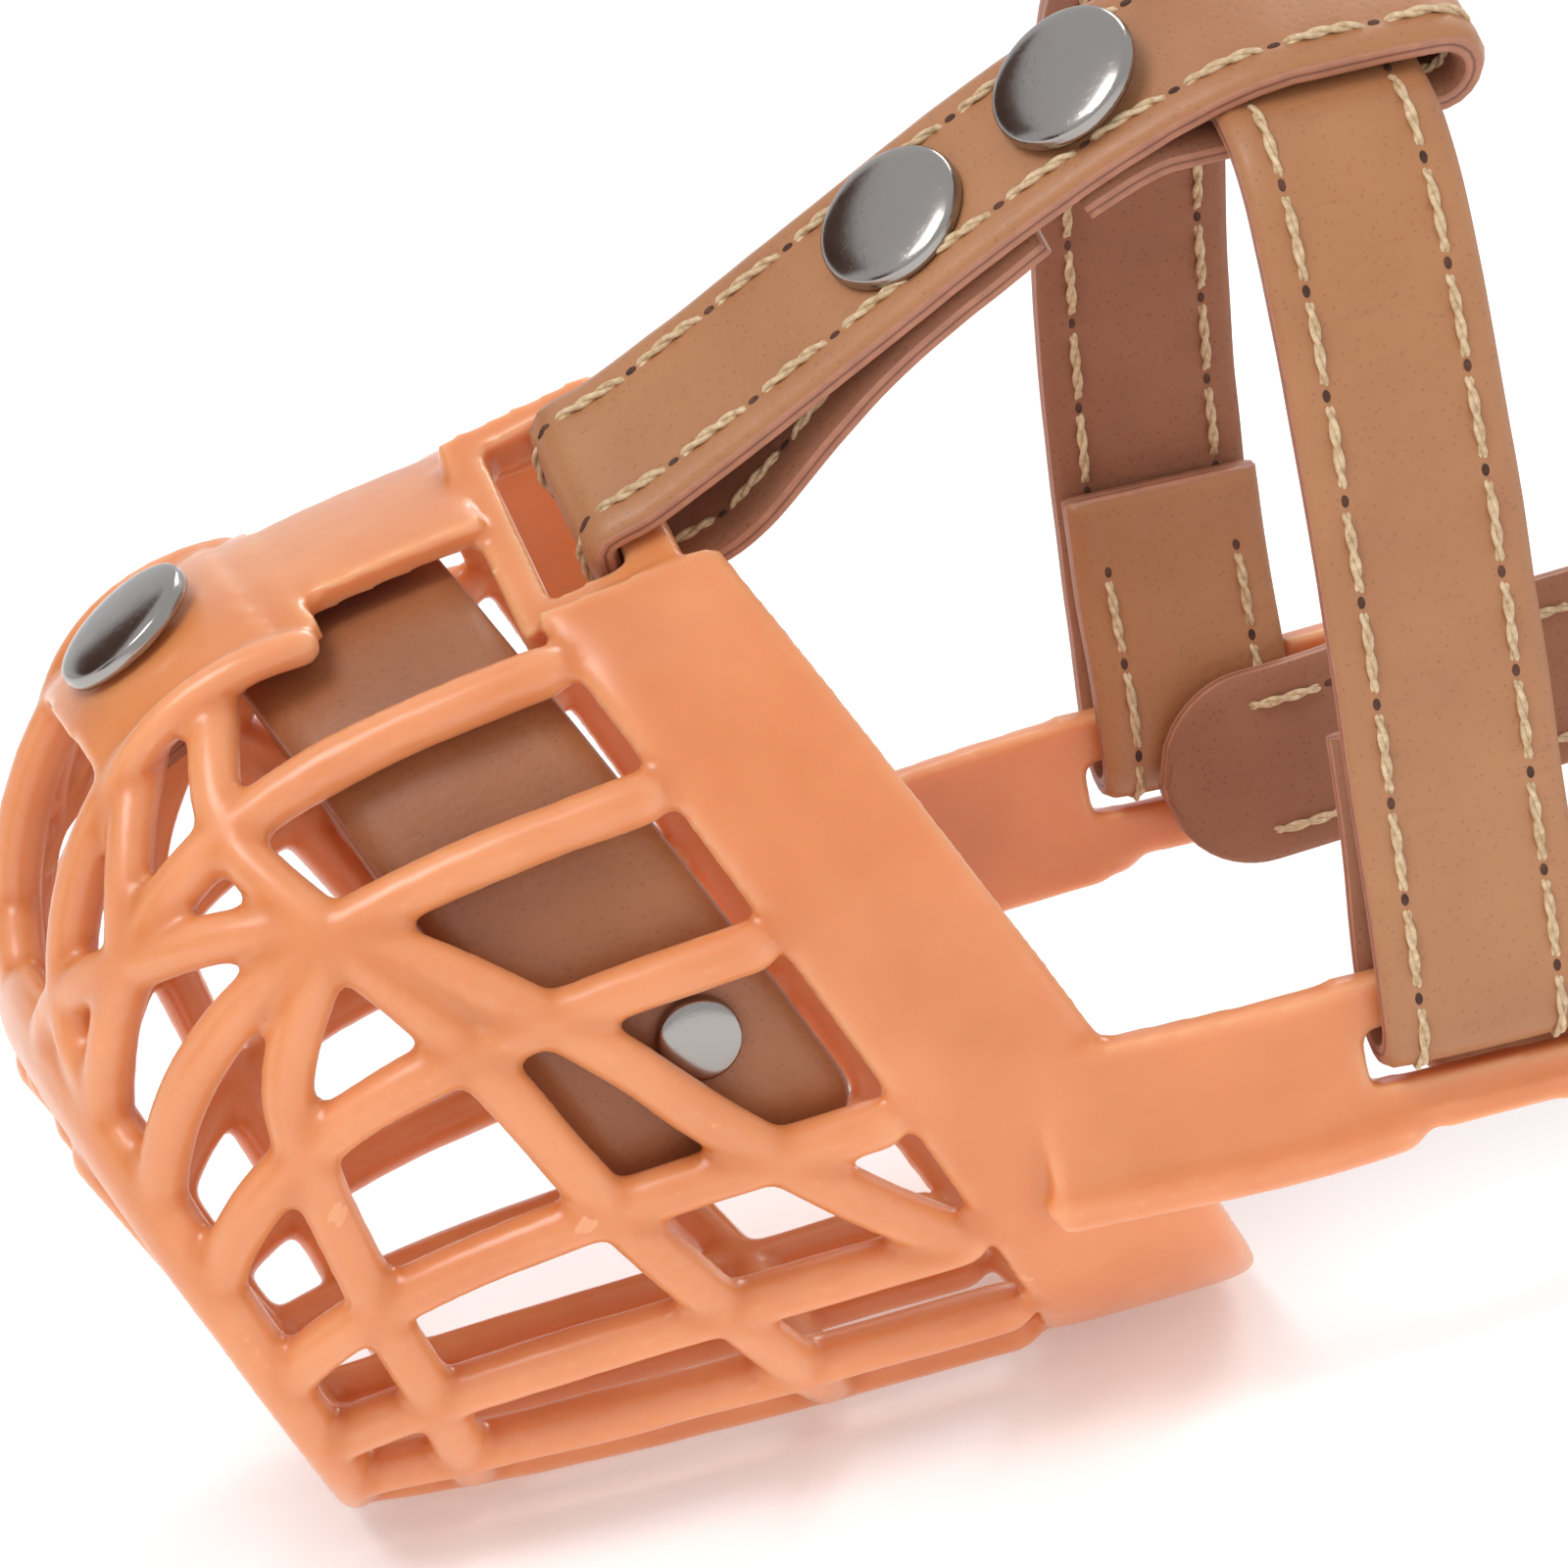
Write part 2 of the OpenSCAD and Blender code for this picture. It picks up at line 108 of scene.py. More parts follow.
def off_cage(s, a, h):
    """Point at a height h outside the cage's surface."""
    return cage(s, a) + float(h) * outward(s, a)


def rolled(p):
    """Turns a point with the top frame and the forehead strap, towards the left side."""
    c, s, z = math.cos(ROLL), math.sin(ROLL), p[2] - ROLL_Z
    return Vector((p[0], p[1] * c - z * s, p[1] * s + z * c + ROLL_Z))


def leaned(p):
    """Leans a point back with the crown strap."""
    c, s, x, z = math.cos(CROWN_LEAN), math.sin(CROWN_LEAN), p[0] - CROWN_X, p[2] - SLOT_Z
    return Vector((CROWN_X + x * c + z * s, p[1], SLOT_Z - x * s + z * c))


def by_slot(u, w, y=0.0):
    """Point beside the top slot: u backwards along the rim's top, w out of it."""
    c, s = math.cos(TOP_SLOPE), math.sin(TOP_SLOPE)
    return Vector((-LEAN_X + u * c - w * s, y, RIM_H / 2 + u * s + w * c))


# ---------- mesh building ----------
class Build:
    """Collects vertices in mm, faces, a material index and uv for each face corner."""

    def __init__(self):
        self.v, self.f, self.m, self.uv = [], [], [], []

    def add(self, verts, faces, mat=0, uvs=None):
        n = len(self.v)
        self.v += [tuple(p) for p in verts]
        for k, face in enumerate(faces):
            self.f.append([n + i for i in face])
            self.m.append(mat if isinstance(mat, int) else mat[k])
            self.uv.append([uvs[i] for i in face] if uvs else [(0.0, 0.0)] * len(face))

    def rings(self, rings, closed=False, mat=0, caps=True, uvs=None):
        """Skins a row of rings. mat may be a list, with one index for each side of a ring."""
        n, m = len(rings[0]), len(rings)
        faces = []
        for i in range(m if closed else m - 1):
            here, after = i * n, (i + 1) % m * n
            for j in range(n):
                k = (j + 1) % n
                faces.append([here + j, here + k, after + k, after + j])
        mats = [mat] * len(faces) if isinstance(mat, int) else [mat[j % n] for j in range(len(faces))]
        if caps and not closed:
            faces += [list(range(n))[::-1], list(range((m - 1) * n, m * n))]
            mats += [mats[0] if isinstance(mat, int) else 1] * 2
        self.add([p for r in rings for p in r], faces, mats, uvs)

    def tube(self, path, radius, sides=10, mat=0, closed=False, flat=1.0, up=None, ends=True):
        """A round bar along a path, with rounded ends. radius may be a list; flat scales one direction."""
        pts = [Vector(p) for p in path]
        n = len(pts)
        rad = [radius] * n if not isinstance(radius, (list, tuple)) else list(radius)
        tan = []
        for i in range(n):
            ahead = pts[(i + 1) % n if closed else min(i + 1, n - 1)]
            behind = pts[i - 1 if closed else max(i - 1, 0)]
            tan.append((ahead - behind).normalized())
        side = Vector(up) if up else Vector((0, 0, 1)).cross(tan[0])
        if side.length < 0.2:
            side = Vector((1, 0, 0))
        rows = []
        for i in range(n):
            side = (side - side.dot(tan[i]) * tan[i]).normalized()
            b = tan[i].cross(side)
            rows.append((pts[i], tan[i], side.copy(), b, rad[i]))

        def ring(p, s, b, r):
            return [p + s * r * math.cos(t) + b * r * flat * math.sin(t) for t in around(sides)]

        out = []
        if not closed and ends:
            p, t, s, b, r = rows[0]
            for q in (0.15, 0.55, 0.85):
                out.append(ring(p - t * r * math.cos(math.asin(q)), s, b, r * q))
        out += [ring(p, s, b, r) for p, t, s, b, r in rows]
        if not closed and ends:
            p, t, s, b, r = rows[-1]
            for q in (0.85, 0.55, 0.15):
                out.append(ring(p + t * r * math.cos(math.asin(q)), s, b, r * q))
        self.rings(out, closed, mat)

    def box(self, lo, hi, place=lambda p: p, mat=0):
        c = [Vector((x, y, z)) for x in (lo[0], hi[0]) for y in (lo[1], hi[1]) for z in (lo[2], hi[2])]
        faces = [[0, 1, 3, 2], [4, 6, 7, 5], [0, 4, 5, 1], [2, 3, 7, 6], [0, 2, 6, 4], [1, 5, 7, 3]]
        self.add([place(p) for p in c], faces, mat)

    def lathe(self, profile, place, sides=64, mat=0):
        """A turned shape about z, from (radius, z) pairs."""
        rows = [[place(Vector((r * math.cos(t), r * math.sin(t), z))) for t in around(sides)]
                for r, z in profile]
        self.rings(rows, False, mat)

    def object(self, name, mats, smooth=True):
        mesh = bpy.data.meshes.new(name)
        mesh.from_pydata([(x / 1000, y / 1000, z / 1000) for x, y, z in self.v], [], self.f)
        layer = mesh.uv_layers.new(name="UVMap")
        flat = [c for face in self.uv for uv in face for c in uv]
        layer.data.foreach_set("uv", flat)
        mesh.polygons.foreach_set("material_index", self.m)
        mesh.polygons.foreach_set("use_smooth", [smooth] * len(self.f))
        for m in mats:
            mesh.materials.append(m)
        mesh.validate()
        o = bpy.data.objects.new(name, mesh)
        bpy.context.scene.collection.objects.link(o)
        return o


def bake_modifiers(o):
    """Replaces an object's mesh with the result of its modifiers."""
    dep = bpy.context.evaluated_depsgraph_get()
    mesh = bpy.data.meshes.new_from_object(o.evaluated_get(dep))
    old = o.data
    o.modifiers.clear()
    o.data = mesh
    bpy.data.meshes.remove(old)


def spline(stops, per=8):
    """Smooth curve through stops of any dimension."""
    p = [np.array(q, float) for q in stops]
    p = [2 * p[0] - p[1]] + p + [2 * p[-1] - p[-2]]
    out = []
    for i in range(1, len(p) - 2):
        for k in range(per):
            t = k / per
            second = 2 * p[i - 1] - 5 * p[i] + 4 * p[i + 1] - p[i + 2]
            third = 3 * p[i] - p[i - 1] - 3 * p[i + 1] + p[i + 2]
            out.append(0.5 * (2 * p[i] + (p[i + 1] - p[i - 1]) * t + second * t * t + third * t ** 3))
    return out + [p[-2]]


# ---------- materials ----------
def material(name, build):
    m = bpy.data.materials.new(name)
    m.use_nodes = True
    nt = m.node_tree
    bsdf = nt.nodes["Principled BSDF"]

    def node(kind, **values):
        n = nt.nodes.new(kind)
        for k, v in values.items():
            if hasattr(n, k) and not (k in n.inputs):
                setattr(n, k, v)
            else:
                n.inputs[k].default_value = v
        return n

    def link(a, b):
        nt.links.new(a, b)
    build(nt, bsdf, node, link)
    return m


def ramp(node, stops):
    r = node("ShaderNodeValToRGB")
    e = r.color_ramp.elements
    while len(e) < len(stops):
        e.new(0.5)
    for k, (pos, col) in enumerate(stops):
        e[k].position = pos
        e[k].color = (*col, 1) if len(col) == 3 else col
    return r


def plastic(nt, bsdf, node, link):
    coord = node("ShaderNodeTexCoord")
    big = node("ShaderNodeTexNoise", Scale=70.0, Detail=3.0)
    fine = node("ShaderNodeTexNoise", Scale=520.0, Detail=4.0)
    link(coord.outputs["Object"], big.inputs["Vector"])
    link(coord.outputs["Object"], fine.inputs["Vector"])
    tone = ramp(node, [(0.3, (0.68, 0.225, 0.066)), (0.7, (0.78, 0.300, 0.110))])
    link(big.outputs["Fac"], tone.inputs["Fac"])
    # Convex edges and rib ridges, found by pointiness, are mixed up to halfway towards a light pink: a
    # painted highlight along them, which also stands for the mould's thin flash lines.
    geo = node("ShaderNodeNewGeometry")
    edge_highlight_mask = ramp(node, [(0.502, (0, 0, 0)), (0.54, (1, 1, 1))])
    link(geo.outputs["Pointiness"], edge_highlight_mask.inputs["Fac"])
    mix = node("ShaderNodeMixRGB", Color2=(0.93, 0.52, 0.30, 1))
    scale = node("ShaderNodeMath", operation="MULTIPLY")
    scale.inputs[1].default_value = 0.5
    link(edge_highlight_mask.outputs["Color"], scale.inputs[0])
    link(scale.outputs[0], mix.inputs["Fac"])
    link(tone.outputs["Color"], mix.inputs["Color1"])
    link(mix.outputs["Color"], bsdf.inputs["Base Color"])
    rough = node("ShaderNodeMapRange")
    rough.inputs["To Min"].default_value = 0.25
    rough.inputs["To Max"].default_value = 0.38
    link(fine.outputs["Fac"], rough.inputs["Value"])
    link(rough.outputs[0], bsdf.inputs["Roughness"])
    bump = node("ShaderNodeBump", Strength=0.12, Distance=0.0004)
    both = node("ShaderNodeMath", operation="ADD")
    link(big.outputs["Fac"], both.inputs[0])
    small = node("ShaderNodeMath", operation="MULTIPLY")
    small.inputs[1].default_value = 0.25
    link(fine.outputs["Fac"], small.inputs[0])
    link(small.outputs[0], both.inputs[1])
    link(both.outputs[0], bump.inputs["Height"])
    link(bump.outputs["Normal"], bsdf.inputs["Normal"])
    bsdf.inputs["Subsurface Weight"].default_value = 0.75
    bsdf.inputs["Subsurface Radius"].default_value = (1.0, 0.45, 0.18)
    bsdf.inputs["Subsurface Scale"].default_value = 0.0035
    bsdf.inputs["Coat Weight"].default_value = 0.35
    bsdf.inputs["Coat Roughness"].default_value = 0.25


def leather(base, dark, pores=1.0, rough=0.48):
    def build(nt, bsdf, node, link):
        coord = node("ShaderNodeTexCoord")
        cloud = node("ShaderNodeTexNoise", Scale=55.0, Detail=5.0)
        pore = node("ShaderNodeTexVoronoi", Scale=1300.0)
        grain = node("ShaderNodeTexNoise", Scale=900.0, Detail=6.0)
        for n in (cloud, pore, grain):
            link(coord.outputs["Object"], n.inputs["Vector"])
        stretch = node("ShaderNodeMapping")
        stretch.inputs["Scale"].default_value = (140.0, 900.0, 900.0)
        stretch.inputs["Rotation"].default_value = (0.4, 0.3, 0.7)
        link(coord.outputs["Object"], stretch.inputs["Vector"])
        scratch = node("ShaderNodeTexNoise", Scale=1.0, Detail=2.0)
        link(stretch.outputs[0], scratch.inputs["Vector"])
        lines = ramp(node, [(0.66, (0, 0, 0)), (0.70, (1, 1, 1))])
        link(scratch.outputs["Fac"], lines.inputs["Fac"])
        tone = ramp(node, [(0.25, dark), (0.75, base)])
        link(cloud.outputs["Fac"], tone.inputs["Fac"])
        mix = node("ShaderNodeMixRGB", Color2=(*[c * 0.55 for c in base], 1))
        amount = node("ShaderNodeMath", operation="MULTIPLY")
        amount.inputs[1].default_value = 0.14
        link(lines.outputs["Color"], amount.inputs[0])
        link(amount.outputs[0], mix.inputs["Fac"])
        link(tone.outputs["Color"], mix.inputs["Color1"])
        dots = ramp(node, [(0.0, (0.5, 0.45, 0.42)), (0.25, (1, 1, 1))])
        link(pore.outputs["Distance"], dots.inputs["Fac"])
        mul = node("ShaderNodeMixRGB", blend_type="MULTIPLY", Fac=min(0.6 * pores, 1.0))
        link(mix.outputs["Color"], mul.inputs["Color1"])
        link(dots.outputs["Color"], mul.inputs["Color2"])
        link(mul.outputs["Color"], bsdf.inputs["Base Color"])
        rr = node("ShaderNodeMapRange")
        rr.inputs["To Min"].default_value = rough - 0.1
        rr.inputs["To Max"].default_value = rough + 0.14
        link(grain.outputs["Fac"], rr.inputs["Value"])
        link(rr.outputs[0], bsdf.inputs["Roughness"])
        height = node("ShaderNodeMath", operation="MULTIPLY_ADD")
        height.inputs[1].default_value = 0.5
        link(grain.outputs["Fac"], height.inputs[0])
        link(pore.outputs["Distance"], height.inputs[2])
        bump = node("ShaderNodeBump", Strength=0.28 * pores, Distance=0.00012)
        link(height.outputs[0], bump.inputs["Height"])
        bump2 = node("ShaderNodeBump", Strength=0.2, Distance=0.00006)
        bump2.invert = True
        link(lines.outputs["Color"], bump2.inputs["Height"])
        link(bump.outputs["Normal"], bump2.inputs["Normal"])
        link(bump2.outputs["Normal"], bsdf.inputs["Normal"])
        bsdf.inputs["Sheen Weight"].default_value = 0.06
        bsdf.inputs["Coat Weight"].default_value = 0.22 if rough < 0.6 else 0.0
        bsdf.inputs["Coat Roughness"].default_value = 0.3
    return build


def edge_paint(nt, bsdf, node, link):
    coord = node("ShaderNodeTexCoord")
    sep = node("ShaderNodeSeparateXYZ")
    uv = node("ShaderNodeUVMap")
    link(uv.outputs["UV"], sep.inputs[0])
    wave = ramp(node, [(0.42, (0.50, 0.215, 0.125)), (0.5, (0.20, 0.07, 0.04)), (0.58, (0.50, 0.215, 0.125))])
    link(sep.outputs["Y"], wave.inputs["Fac"])
    n = node("ShaderNodeTexNoise", Scale=600.0, Detail=5.0)
    link(coord.outputs["Object"], n.inputs["Vector"])
    tone = ramp(node, [(0.3, (0.72, 0.72, 0.72)), (0.7, (1, 1, 1))])
    link(n.outputs["Fac"], tone.inputs["Fac"])
    mul = node("ShaderNodeMixRGB", blend_type="MULTIPLY", Fac=0.7)
    link(wave.outputs["Color"], mul.inputs["Color1"])
    link(tone.outputs["Color"], mul.inputs["Color2"])
    link(mul.outputs["Color"], bsdf.inputs["Base Color"])
    bump = node("ShaderNodeBump", Strength=0.5, Distance=0.0002)
    link(n.outputs["Fac"], bump.inputs["Height"])
    link(bump.outputs["Normal"], bsdf.inputs["Normal"])
    bsdf.inputs["Roughness"].default_value = 0.5


def metal(color, rough):
    def build(nt, bsdf, node, link):
        coord = node("ShaderNodeTexCoord")
        stretch = node("ShaderNodeMapping")
        stretch.inputs["Scale"].default_value = (150.0, 4200.0, 2600.0)
        stretch.inputs["Rotation"].default_value = (0.5, 0.9, 0.3)
        link(coord.outputs["Object"], stretch.inputs["Vector"])
        n = node("ShaderNodeTexNoise", Scale=1.0, Detail=3.0)
        link(stretch.outputs[0], n.inputs["Vector"])
        lines = ramp(node, [(0.60, (0, 0, 0)), (0.72, (1, 1, 1))])
        link(n.outputs["Fac"], lines.inputs["Fac"])
        spot = node("ShaderNodeTexNoise", Scale=450.0, Detail=3.0)
        link(coord.outputs["Object"], spot.inputs["Vector"])
        rr = node("ShaderNodeMapRange")
        rr.inputs["To Min"].default_value = rough
        rr.inputs["To Max"].default_value = rough + 0.12
        link(spot.outputs["Fac"], rr.inputs["Value"])
        link(rr.outputs[0], bsdf.inputs["Roughness"])
        bump = node("ShaderNodeBump", Strength=0.2, Distance=0.00003)
        link(lines.outputs["Color"], bump.inputs["Height"])
        link(bump.outputs["Normal"], bsdf.inputs["Normal"])
        bsdf.inputs["Base Color"].default_value = (*color, 1)
        bsdf.inputs["Metallic"].default_value = 1.0
    return build


def thread(nt, bsdf, node, link):
    coord = node("ShaderNodeTexCoord")
    n = node("ShaderNodeTexNoise", Scale=1500.0, Detail=4.0)
    link(coord.outputs["Object"], n.inputs["Vector"])
    tone = ramp(node, [(0.3, (0.46, 0.30, 0.15)), (0.7, (0.78, 0.60, 0.38))])
    link(n.outputs["Fac"], tone.inputs["Fac"])
    link(tone.outputs["Color"], bsdf.inputs["Base Color"])
    bump = node("ShaderNodeBump", Strength=0.6, Distance=0.0001)
    link(n.outputs["Fac"], bump.inputs["Height"])
    link(bump.outputs["Normal"], bsdf.inputs["Normal"])
    bsdf.inputs["Roughness"].default_value = 0.8


# A near-black matte colour. On the needle holes and punched holes it is painted shade, standing for the dark
# inside each hole; the cards beside the set use it as their own black.
def dark_hole(nt, bsdf, node, link):
    coord = node("ShaderNodeTexCoord")
    n = node("ShaderNodeTexNoise", Scale=900.0)
    link(coord.outputs["Object"], n.inputs["Vector"])
    tone = ramp(node, [(0.3, (0.05, 0.02, 0.012)), (0.7, (0.12, 0.05, 0.03))])
    link(n.outputs["Fac"], tone.inputs["Fac"])
    link(tone.outputs["Color"], bsdf.inputs["Base Color"])
    bsdf.inputs["Roughness"].default_value = 0.9


M_PLASTIC = material("cage_plastic_look", plastic)
M_TAN = material("strap_leather_look", leather((0.47, 0.205, 0.080), (0.37, 0.145, 0.052)))
M_BACK = material("strap_back_look", leather((0.36, 0.15, 0.075), (0.27, 0.10, 0.05), 1.4, 0.75))
M_LINER = material("liner_leather_look", leather((0.40, 0.145, 0.05), (0.28, 0.09, 0.03)))
M_PAD = material("pad_leather_look", leather((0.50, 0.20, 0.10), (0.36, 0.12, 0.05)))
M_EDGE = material("painted_edge_look", edge_paint)
M_NICKEL = material("rivet_nickel_look", metal((0.36, 0.335, 0.31), 0.13))
M_STEEL = material("buckle_steel_look", metal((0.55, 0.54, 0.53), 0.2))
M_THREAD = material("thread_look", thread)
# the holes' near-black colour is painted shade
M_HOLE_SHADE = material("hole_painted_shade_look", dark_hole)


def finish_piece(o, body, replaced):
    """Puts a piece on its body, in place of the plain nodes that it stands for."""
    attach(o, body)
    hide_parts(*replaced)


# ---------- the moulded cage ----------
g = Build()
RIB_R, RIM_HALF_T = 2.3, 1.4

section = [(RIM_S / 2 * (1 + signed_power(math.cos(t), 0.35)), RIM_HALF_T * signed_power(math.sin(t), 0.6))
           for t in around(20)]
g.rings([[off_cage(s, a, h) for s, h in section] for a in np.arange(32, 358.1, 2)])


def rib(stops):
    """A round rib along the cage's surface, through stops of (s, a)."""
    pts = [cage(p[0], p[1]) for p in spline(stops, 10)]
    g.tube(pts, [RIB_R * (1 + 0.05 * noise.noise(Vector(p) * 0.15)) for p in pts], 12)


# one side's ribs: the spokes, then the curves that cross them, then the two short ones by the nose plate
WEB = [[(RIM_S + 0.02, a), (0.5, a), (0.72, a), (0.975, a)] for a in range(40, 141, 20)] + [
    [(0.96, 14), (0.8, 40), (0.57, 60), (0.43, 80), (0.32, 100), (RIM_S + 0.02, 120)],
    [(NOSE_S - 0.02, 21), (0.6, 40), (0.57, 60), (0.52, 80), (0.49, 100), (0.45, 120), (0.42, 140),
     (0.4, 160)],
    [(0.57, 60), (0.72, 72), (0.76, 84), (0.79, 100), (0.8, 120), (0.81, 140), (0.81, 160)],
    [(NOSE_S + 0.08, 18), (0.8, 40)], [(NOSE_S + 0.08, 18), (0.9, 24), (0.96, 40)]]
for side in (1, -1):
    for path in WEB:
        rib([(s, side * a) for s, a in path])
for a in (160, 173, 187, 200):
    rib([(RIM_S + 0.02, a), (0.5, a), (0.975, a)])
for s in (0.4, 0.81):
    rib([(s, 158), (s, 180), (s, 202)])
g.rings([[off_cage(0.99 + 0.045 * math.cos(t), a, 2.6 * math.sin(t)) for t in around(12)]
         for a in range(0, 360, 4)], True)
front_top, front_low = cage(1, 0), cage(1, 180)
front_x, front_z = (front_top[0] + front_low[0]) / 2, (front_top[2] + front_low[2]) / 2
for y in (-13, -6.5, 0, 6.5, 13):
    g.tube([front_top + Vector((0, y, -4 - abs(y) / 6)), Vector((front_x - 0.7, y, front_z)),
            front_low + Vector((-1.5, y, 5 + abs(y) / 6))], 1.7, 10)


def in_frame(p):
    return rolled(by_slot(p[0], p[2], p[1]))


# the frame's front bar, rear bar and two sides
wide, narrow = FRAME_W / 2, STRAP_W / 2 + 1
for x0, x1, y0, y1 in ((-FRAME_L, SLOT_BACK - 7, -wide, wide), (SLOT_BACK, 0, -wide, wide),
                       (-FRAME_L, 0, -wide, -narrow), (-FRAME_L, 0, narrow, wide)):
    g.box((x0, y0, FRAME_TOP - FRAME_T), (x1, y1, FRAME_TOP), in_frame)


def patch(s0, s1, a0, a1, out, inn):
    """A curved plate on the cage, between the heights inn and out."""
    rows = []
    across, along = int((a1 - a0) / 2), 8
    for i in range(across + 1):
        a = a0 + (a1 - a0) * i / across
        rows.append([off_cage(s0 + (s1 - s0) * k / along, a, out) for k in range(along + 1)]
                    + [off_cage(s1 + (s0 - s1) * k / along, a, inn) for k in range(along + 1)])
    g.rings(rows)


# the nose bridge, a step behind the nose plate, and the plate with its raised sides
patch(RIM_S - 0.02, NOSE_S - 0.06, -13, 13, 1.4, -1.1)
patch(NOSE_S - 0.17, NOSE_S - 0.08, -19, 19, 1.6, -0.9)
patch(NOSE_S - 0.12, NOSE_S + 0.13, -21, 21, 2.2, -0.6)
PLATE_HALF = 0.14
for a in (-21, 21):
    g.tube([off_cage(s, a, 2.4 - 1.8 * ((s - NOSE_S) / PLATE_HALF) ** 2)
            for s in np.linspace(NOSE_S - PLATE_HALF, NOSE_S + PLATE_HALF, 12)], 1.7, 12)


def wall(path, z0, z1, tilt=False):
    """A tab's upright strip along a plan path, between two heights."""
    p = [Vector((x, y, 0)) for x, y in path]
    rows = []
    for i, q in enumerate(p):
        d = (p[min(i + 1, len(p) - 1)] - p[max(i - 1, 0)]).normalized()
        n = Vector((-d.y, d.x, 0)) * TAB_T / 2
        rows.append([q + n + Vector((0, 0, z0)), q - n + Vector((0, 0, z0)), q - n + Vector((0, 0, z1)),
                     q + n + Vector((0, 0, z1))])
    if tilt:
        rows = [[leaned(v) for v in r] for r in rows]
    g.rings(rows)


TAB_MID = TAB_Y + TAB_T / 2
TAB_ROOT = [(-3, RIM_W / 2 - 0.8), (4, TAB_Y - 0.7), (9, TAB_Y + 0.2), (15, TAB_Y + 1.1), (20, TAB_MID),
            (SLOT_X, TAB_MID)]
TAB_LIP = [(-2, RIM_W / 2 - 0.4, TAB_LOW + 2.2), (8, TAB_Y + 0.7, TAB_LOW + 1.9),
           (18, TAB_MID + 0.5, TAB_LOW + 1.8), (SLOT_X + 2, TAB_MID + 0.6, TAB_LOW + 2.0)]
TAB_EYE = [(0.01, -1.5), (8.6, -1.5), (9, -1), (9, 1), (8.6, 1.5), (0.01, 1.5)]
for side in (-1, 1):
    wall([(x, side * y) for x, y in TAB_ROOT], TAB_LOW, -8)
    g.tube([Vector(p) for p in spline([(x, side * y, z) for x, y, z in TAB_LIP], 6)], 2.0, 10)
    for y, z0, z1 in ((TAB_MID, SLOT_LOW + SLOT_H, -8.3), (TAB_MID, SLOT_LOW, -22.5),
                      (TAB_MID + 0.4, -20.5, -22.8)):
        wall([(SLOT_X - 2, side * y), (SLOT_X + SLOT_L + 1.5, side * y)], z0, z1, True)
    wall([(SLOT_X + SLOT_L, side * TAB_MID), (RIVET_X, side * TAB_MID)], TAB_LOW, -6)
    g.lathe(TAB_EYE, lambda v: Vector((RIVET_X + v.x, side * TAB_MID + v.z, RIVET_Z + v.y)), 48)

cage_piece = g.object("moulded_cage", [M_PLASTIC])
mod = cage_piece.modifiers.new("join", "REMESH")
mod.mode = "VOXEL"
mod.voxel_size = 0.00055
mod.use_smooth_shade = True
mod = cage_piece.modifiers.new("soften", "SMOOTH")
mod.factor = 0.5
mod.iterations = 9
bake_modifiers(cage_piece)
cage_piece.data.materials.clear()
cage_piece.data.materials.append(M_PLASTIC)
MOULDED = ["rim_band", "top_frame", "nose_bridge", "nose_plate", "left_web", "right_web", "belly_ribs",
           "front_ring", "front_grille", "left_tab", "right_tab"]
finish_piece(cage_piece, "cage", MOULDED)


# ---------- straps ----------
def soften(path, rounds=3):
    """Cuts a path's corners, over and over."""
    p = [np.array(q, float) for q in path]
    for _ in range(rounds):
        out = [p[0]]
        for a, b in zip(p, p[1:]):
            out += [a * 0.75 + b * 0.25, a * 0.25 + b * 0.75]
        p = out + [p[-1]]
    return p


def even(path, step=1.0):
    """The path at even steps, and its length."""
    d = [0.0]
    for a, b in zip(path, path[1:]):
        d.append(d[-1] + float(np.linalg.norm(b - a)))
    n = max(int(d[-1] / step), 4)
    at = np.linspace(0, d[-1], n + 1)
    arr = np.array(path)
    return [np.array([np.interp(x, d, arr[:, k]) for k in range(arr.shape[1])]) for x in at], d[-1]


